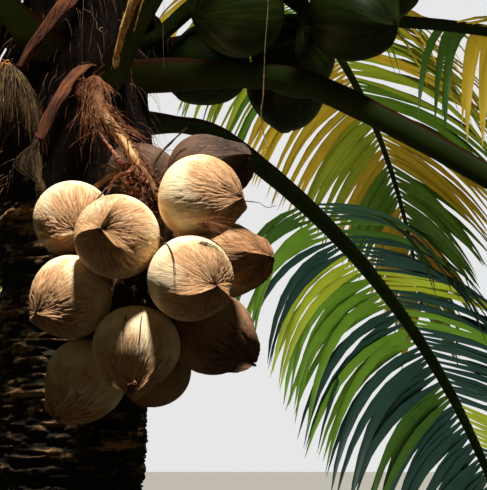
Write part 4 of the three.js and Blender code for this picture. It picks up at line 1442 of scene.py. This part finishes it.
# Bearing and width in degrees, and the heights of the top and the foot.
FLAPS = ((186, 62, 3.95, 3.5), (128, 70, 3.9, 3.47), (60, 64, 3.97, 3.56), (12, 40, 3.9, 3.6))
flap_across, flap_down = np.meshgrid(np.linspace(-0.5, 0.5, FLAP_COLUMNS), np.linspace(0, 1, FLAP_ROWS))
flap_faces = [grid_faces(FLAP_ROWS, FLAP_COLUMNS, wrap=False)]
flap_heap = Heap()
for seed, (bearing, width, top, foot) in enumerate(FLAPS):
    torn = 1 - 0.35 * np.abs(ring_noise(flap_across + 0.5, 0 * flap_down, 16, 2, 100 + seed))
    z = top - (top - foot) * flap_down * torn
    waves = 0.012 * ring_noise(flap_across + 0.5, flap_down, 9, 8, 104 + seed)
    out = stem_radius(z) + 0.02 + 0.07 * flap_down**1.5 + waves
    way = heading(bearing + flap_across * width * (1 - 0.25 * flap_down))
    flap_heap.add(stem_at(z) + way * out[..., None], flap_faces)
sheath_pieces.append(show("sheath_flaps", flap_heap, sheath_skin, ["trunk"]))

# %% [markdown]
# ### Loose sheath fibre
# The old net frays, and its ends hang out of the sleeve all round. They are short drooping
# strands, drawn at random over the height of the sleeve.

# %% Loose sheath fibre
FRAY = 700
rng = np.random.default_rng(5)
fray_z = rng.uniform(BARK_TOP, STEM_TIP - 0.25, FRAY)
fray_bearing = rng.uniform(0, 360, FRAY)
fray_ways = heading(fray_bearing + rng.uniform(-50, 50, FRAY), rng.uniform(-80, -20, FRAY))
fray_starts = stem_at(fray_z) + heading(fray_bearing) * (stem_radius(fray_z) + 0.014)[:, None]
fray_lengths = rng.uniform(0.03, 0.11, FRAY)
fray_heap = Heap()
fray_heap.add(*strands(fray_starts, fray_ways, fray_lengths, 0.0008, 1.3, 0.22, 5, 6))


def fibre_finish(name, dark, light):
    f = Finish(name, dark, 0.2)
    f.coat(f.noise((60, 60, 12), 3.0, 0.6).between(0.35, 0.65), light)
    return f.finish(0.85)


fray_fibre = fibre_finish("fray_fibre", (46, 30, 18), (112, 78, 48))
show("sheath_fray", fray_heap, fray_fibre, ["trunk"])

# %% [markdown]
# ## Dry strips of sheath
# Two torn strips of old leaf sheath come out by the bunch, close to the solids' two dry stalks.
# Each is a flattened tube that is widest past its middle, with deep ridges and loose splinters.
# The mesh carries a grain that runs around and along it, so the cracks follow the strip.

# %% Dry strips
DRY_STEPS = 60
DRY_SIDES = 24
SPLINTERS = 70
# Bearing and height of the foot, the corners from the stem's axis, and the radius.
DRY_STALKS = {
    "dry_stalk_low": (
        (-72, 3.56),
        ((0.032, -0.232, 3.53), (-0.012, -0.282, 3.45), (-0.058, -0.292, 3.345)),
        0.021,
    ),
    "dry_stalk_high": (
        (-80, 3.83),
        ((0.045, -0.21, 3.79), (0.004, -0.258, 3.7), (-0.06, -0.264, 3.61), (-0.113, -0.25, 3.53)),
        0.018,
    ),
}


def dry_path(name, count):
    socket, line, _ = DRY_STALKS[name]
    return smooth_path([*stem_socket(*socket), *(np.array(line) + (LEAN, 0, 0))], count)


def dry_finish():
    f = Finish("dry_stalk_skin", (110, 58, 24), 0.25)
    long = f.noise((3.4, 3.4, 5.0), 5.0, 0.65, 0.3, f.mark("grain", "Vector"))
    broad = f.noise(24.0, 3.0, 0.6)
    f.coat(broad.between(0.3, 0.7), (72, 33, 13))
    f.coat(long.between(0.45, 0.68), (38, 21, 12))
    edge = (broad * 0.5 + long * 0.6).between(0.32, 0.44)
    f.coat((1 - edge) * 0.6, (176, 116, 54))
    return f.finish(0.9, long, 0.005)


dry_skin = dry_finish()
dry_share = np.linspace(0, 1, DRY_STEPS)
dry_swell = np.interp(dry_share, (0, 0.3, 0.62, 1), (0.45, 0.6, 1.0, 0.6))
dry_grain = (around(np.arange(DRY_SIDES) / DRY_SIDES) + UP * dry_share[:, None, None]).reshape(-1, 3)
for seed, (name, (_, _, radius)) in enumerate(DRY_STALKS.items()):
    path = dry_path(name, DRY_STEPS)
    dry_heap = Heap()
    add_tube(dry_heap, path, radius * dry_swell, DRY_SIDES, 70 + seed, 0.3, 0.45, grain=dry_grain)
    rng = np.random.default_rng(90 + seed)
    step = rng.integers(4, DRY_STEPS - 2, SPLINTERS)
    ways = unit(path[step + 1] - path[step - 1]) + rng.normal(0, 0.12, (SPLINTERS, 3))
    starts = path[step] + rng.normal(0, 0.008, (SPLINTERS, 3))
    lengths = rng.uniform(0.02, 0.06, SPLINTERS)
    points, faces = strands(starts, ways, lengths, 0.0009, 0.2, 0.1, 5, seed)
    dry_heap.add(points, faces, grain=points * 0.5)
    show(name + "_bark", dry_heap, dry_skin, [name])

# %% [markdown]
# ### Beard
# The high strip ends in a beard of fibre, with a small golden root where the fibre tears off. The
# strands start along an arched crest and fan out as they fall.

# %% Beard
BEARD_STRANDS = 1000
BEARD_LENGTH = 0.165
BEARD_WIDTH = 0.08
ROOT_STRANDS = 120
high_end = dry_path("dry_stalk_high", DRY_STEPS)[-1]
crest = high_end - (0.024, 0, 0)
rng = np.random.default_rng(1000)
spread = (0.55 * BEARD_WIDTH, 0.4 * BEARD_WIDTH, 0.12 * BEARD_WIDTH)
starts = crest + rng.uniform(-1, 1, (BEARD_STRANDS, 3)) * spread
starts[:, 2] -= 2.5 * (starts[:, 0] - crest[0]) ** 2 / BEARD_WIDTH
ways = 2.2 * (starts - crest) / BEARD_WIDTH + rng.normal(0, 0.2, (BEARD_STRANDS, 3)) - UP * 0.7
lengths = rng.uniform(0.4, 1.05, BEARD_STRANDS) * BEARD_LENGTH
beard_heap = Heap()
beard_heap.add(*strands(starts, ways, lengths, 0.001, 1.5, 0.13, 7, 1000))
beard_fibre = fibre_finish("beard_fibre", (40, 28, 15), (112, 86, 50))
show("fibre_hank_high_beard", beard_heap, beard_fibre, ["fibre_hank_high"])

starts = high_end + (-0.034, -0.02, 0.0) + np.random.default_rng(33).normal(0, 0.007, (ROOT_STRANDS, 3))
ways = np.random.default_rng(34).normal(0, 0.5, (ROOT_STRANDS, 3)) - UP * 0.6
root_heap = Heap()
root_heap.add(*strands(starts, ways, np.full(ROOT_STRANDS, 0.022), 0.0014, 0.9, 0.3, 4, 35))
root_fibre = fibre_finish("root_fibre", (104, 58, 24), (206, 138, 68))
show("fibre_hank_high_root", root_heap, root_fibre, ["fibre_hank_high"])

# %% [markdown]
# ### Loop of fibre
# The fibre of the low strip is a soft loop, drawn together again at its foot. Every strand leaves
# the end of the strip, swings out to the side, and comes back to the same knot.

# %% Loop of fibre
LOOP_STRANDS = 170
LOOP_STEPS = 14
LOOP_SIDE = np.array([-0.03, -0.004, -0.05])
LOOP_FOOT = np.array([0.012, -0.03, -0.118])
LOOP_WIDTH = np.array([0.026, 0.0, 0.006])
loop_top = dry_path("dry_stalk_low", DRY_STEPS)[-1]
loop_radii = mix(0.0009, 0.0005, np.linspace(0, 1, LOOP_STEPS))
rng = np.random.default_rng(31)
loop_heap = Heap()
for _ in range(LOOP_STRANDS):
    side = loop_top + LOOP_SIDE + LOOP_WIDTH * rng.uniform(-0.5, 1.0) + rng.normal(0, 0.006, 3)
    foot = loop_top + LOOP_FOOT + rng.normal(0, 0.004, 3)
    tail = foot + (rng.normal(0, 0.006), -0.004, -rng.uniform(0.006, 0.04))
    path = smooth_path([loop_top + rng.normal(0, 0.004, 3), side, foot, tail], LOOP_STEPS)
    add_tube(loop_heap, path, loop_radii, 3)
loop_fibre = fibre_finish("loop_fibre", (37, 27, 15), (84, 64, 38))
show("fibre_hank_low_loop", loop_heap, loop_fibre, ["fibre_hank_low"])

# %% [markdown]
# ### Torn strap
# A strip of dry leaf hangs from the petiole of the climbing frond. It has torn into one broad
# strip and two narrow ones, and its end is frayed.

# %% Torn strap
STRAP_SHARE = 0.136  # how far along the petiole the strap hangs
STRAP_STEPS = 40
STRAP_SIDES = 8
STRAP_THINNESS = 0.16
STRAP_SPLINTERS = 26
STRAP_LINE = np.array([
    (0, 0, 0), (-0.014, -0.016, 0.004), (-0.03, -0.026, -0.03), (-0.05, -0.024, -0.092),
    (-0.068, -0.018, -0.156),
])
# The shift to the side of each strip, its width and its length.
STRAP_STRIPS = ((0.0, 1.0, 1.0), (0.013, 0.2, 0.62), (-0.013, 0.16, 0.7))
strap_frames = rib_at(ribs[CLIMBING_FROND], STRAP_SHARE)
strap_width, _ = rib_size(fronds[CLIMBING_FROND], STRAP_SHARE)
strap_edge = strap_frames["centre"] - strap_frames["across"] * 0.95 * strap_width
strap_radii = STRAP_THINNESS * mix(0.0165, 0.0085, np.linspace(0, 1, STRAP_STEPS))
strap_heap = Heap()
for strip, (shift, size, reach) in enumerate(STRAP_STRIPS):
    path = smooth_path(strap_edge + STRAP_LINE * reach + (shift, 0.003 * strip, 0), STRAP_STEPS)
    flat = 1 / STRAP_THINNESS
    add_tube(strap_heap, path, strap_radii * size, STRAP_SIDES, 80 + strip, 0.2, flat)
rng = np.random.default_rng(57)
starts = strap_edge + STRAP_LINE[-1] + rng.normal(0, 1, (STRAP_SPLINTERS, 3)) * (0.004, 0.001, 0.012)
ways = np.array([-0.15, 0.0, -1.0]) + rng.normal(0, 0.14, (STRAP_SPLINTERS, 3))
lengths = rng.uniform(0.01, 0.026, STRAP_SPLINTERS)
strap_heap.add(*strands(starts, ways, lengths, 0.0008, 0.1, 0.1, 4, 58))


def strap_finish():
    f = Finish("dry_leaf_strap", (214, 168, 102), 0.25)
    long = f.noise((180, 180, 12), 4.0, 0.6)
    f.coat(long.between(0.4, 0.65), (162, 112, 60))
    f.coat(f.noise(210.0, 3.0, 0.7).between(0.52, 0.6) * 0.8, (92, 58, 30))
    return f.finish(0.8, long, 0.001, 0.8)


show("dry_leaf_strap", strap_heap, strap_finish(), ["dry_strap"])

# %% [markdown]
# ## Spear leaf
# The youngest leaf stands unopened at the very top, folded tight like a fan. A tapering tube whose
# radius is pleated around gives the folds.

# %% Spear leaf
SPEAR_STEPS = 60
SPEAR_SIDES = 24
PLEATS = 6
spear_foot = np.array([LEAN, 0, STEM_TIP + 0.0004])
spear_corners = spear_foot + np.array([(0, 0, 0), (0.008, 0.006, 0.7), (0.04, 0.025, 1.75)])
spear_share = np.linspace(0, 1, SPEAR_STEPS)[:, None]
spear_turn = 2 * np.pi * np.arange(SPEAR_SIDES) / SPEAR_SIDES
pleated = mix(0.019, 0.005, spear_share**2) * (1 + 0.12 * np.cos(PLEATS * spear_turn + 3 * spear_share))
spear_heap = Heap()
spear_heap.add(*tube(smooth_path(spear_corners, SPEAR_STEPS), pleated, SPEAR_SIDES))
show("spear_leaf", spear_heap, leaf_finish("spear", (142, 160, 70)), ["spear"])

# %% [markdown]
# ## Floor
# The palm stands on a plain pale floor that reaches as far as any view of it. It throws no light
# and no reflection back, so the underside of the bunch stays in shade.

# %% Floor
FLOOR_REACH = 300.0
floor_mesh = bpy.data.meshes.new("floor")
corners = [(x * FLOOR_REACH, y * FLOOR_REACH, 0) for x, y in ((-1, -1), (1, -1), (1, 1), (-1, 1))]
floor_mesh.from_pydata(corners, [], [(0, 1, 2, 3)])
floor = bpy.data.objects.new("floor", floor_mesh)
scene.collection.objects.link(floor)
floor_look = Finish("pale_floor", (204, 202, 197), 0.2)
floor_look.coat(floor_look.noise(3.0, 3.0, 0.5), (214, 212, 207))
floor_mesh.materials.append(floor_look.finish(0.85))
floor.visible_diffuse = False
floor.visible_glossy = False
print("floor reaches", FLOOR_REACH, "m")

# %% [markdown]
# ## Light
# Sun and shade fall side by side on a palm. One sun for all would let the crown darken the fruit,
# so each group of pieces has its own, linked to it alone. The key comes almost from overhead and
# lights the bunch, the trunk and the dry parts, which shade only each other. A softer one from
# above and in front lights the leaflets, the old sheath and the floor, and a weaker one the ribs
# and the green nuts. A broad fill from below and in front lights the leaflets alone. A little warm
# light comes from all round, while the sky behind is seen as a plain pale grey.

# %% Light
SUN_COLOUR = (1.0, 0.96, 0.89)
SKY_COLOUR = (1.0, 0.86, 0.64, 1.0)
SKY_STRENGTH = 0.066
SEEN_SKY = 0.8
LEAF_WAY = (-0.25, 0.61, -0.75)
# The way that each light travels, its strength, and its softness in degrees.
SUNS = {
    "key": ((-0.03, 0.23, -0.973), 10.8, 6),
    "leaf_light": (LEAF_WAY, 3.4, 12),
    "rib_light": (LEAF_WAY, 1.7, 12),
    "leaf_fill": ((0.1, 0.75, 0.5), 2.2, 40),
}


def group(name, pieces):
    chosen = bpy.data.collections.new(name)
    for piece in pieces:
        chosen.objects.link(piece)
    return chosen


def sun(name, lit, blockers=None):
    way, strength, softness = SUNS[name]
    data = bpy.data.lights.new(name, "SUN")
    data.energy = strength
    data.angle = math.radians(softness)
    data.color = SUN_COLOUR
    lamp = bpy.data.objects.new(name, data)
    lamp.rotation_euler = Vector(way).to_track_quat("-Z", "Y").to_euler()
    scene.collection.objects.link(lamp)
    lamp.light_linking.receiver_collection = lit
    lamp.light_linking.blocker_collection = blockers


open_pieces = [*leaf_pieces, *sheath_pieces, floor]
meshes = [piece for piece in scene.objects if piece.type == "MESH"]
plain_pieces = [piece for piece in meshes if piece not in open_pieces and piece not in shaded_pieces]
plain = group("bunch_and_trunk", plain_pieces)
leaves_alone = group("leaves_alone", leaf_pieces)
sun("key", plain, plain)
sun("leaf_light", group("leaves_sheath_and_floor", open_pieces))
sun("rib_light", group("ribs_and_green_fruit", shaded_pieces))
sun("leaf_fill", leaves_alone, leaves_alone)

world = bpy.data.worlds.new("studio")
scene.world = world
world.use_nodes = True
tree = world.node_tree
sky_light = tree.nodes["Background"]
sky_light.inputs["Color"].default_value = SKY_COLOUR
sky_light.inputs["Strength"].default_value = SKY_STRENGTH
sky_seen = tree.nodes.new("ShaderNodeBackground")
sky_seen.inputs["Color"].default_value = (SEEN_SKY, SEEN_SKY, SEEN_SKY, 1.0)
chooser = tree.nodes.new("ShaderNodeMixShader")
ray = tree.nodes.new("ShaderNodeLightPath")
tree.links.new(ray.outputs["Is Camera Ray"], chooser.inputs[0])
tree.links.new(sky_light.outputs[0], chooser.inputs[1])
tree.links.new(sky_seen.outputs[0], chooser.inputs[2])
tree.links.new(chooser.outputs[0], tree.nodes["World Output"].inputs["Surface"])

scene.view_settings.view_transform = "Standard"
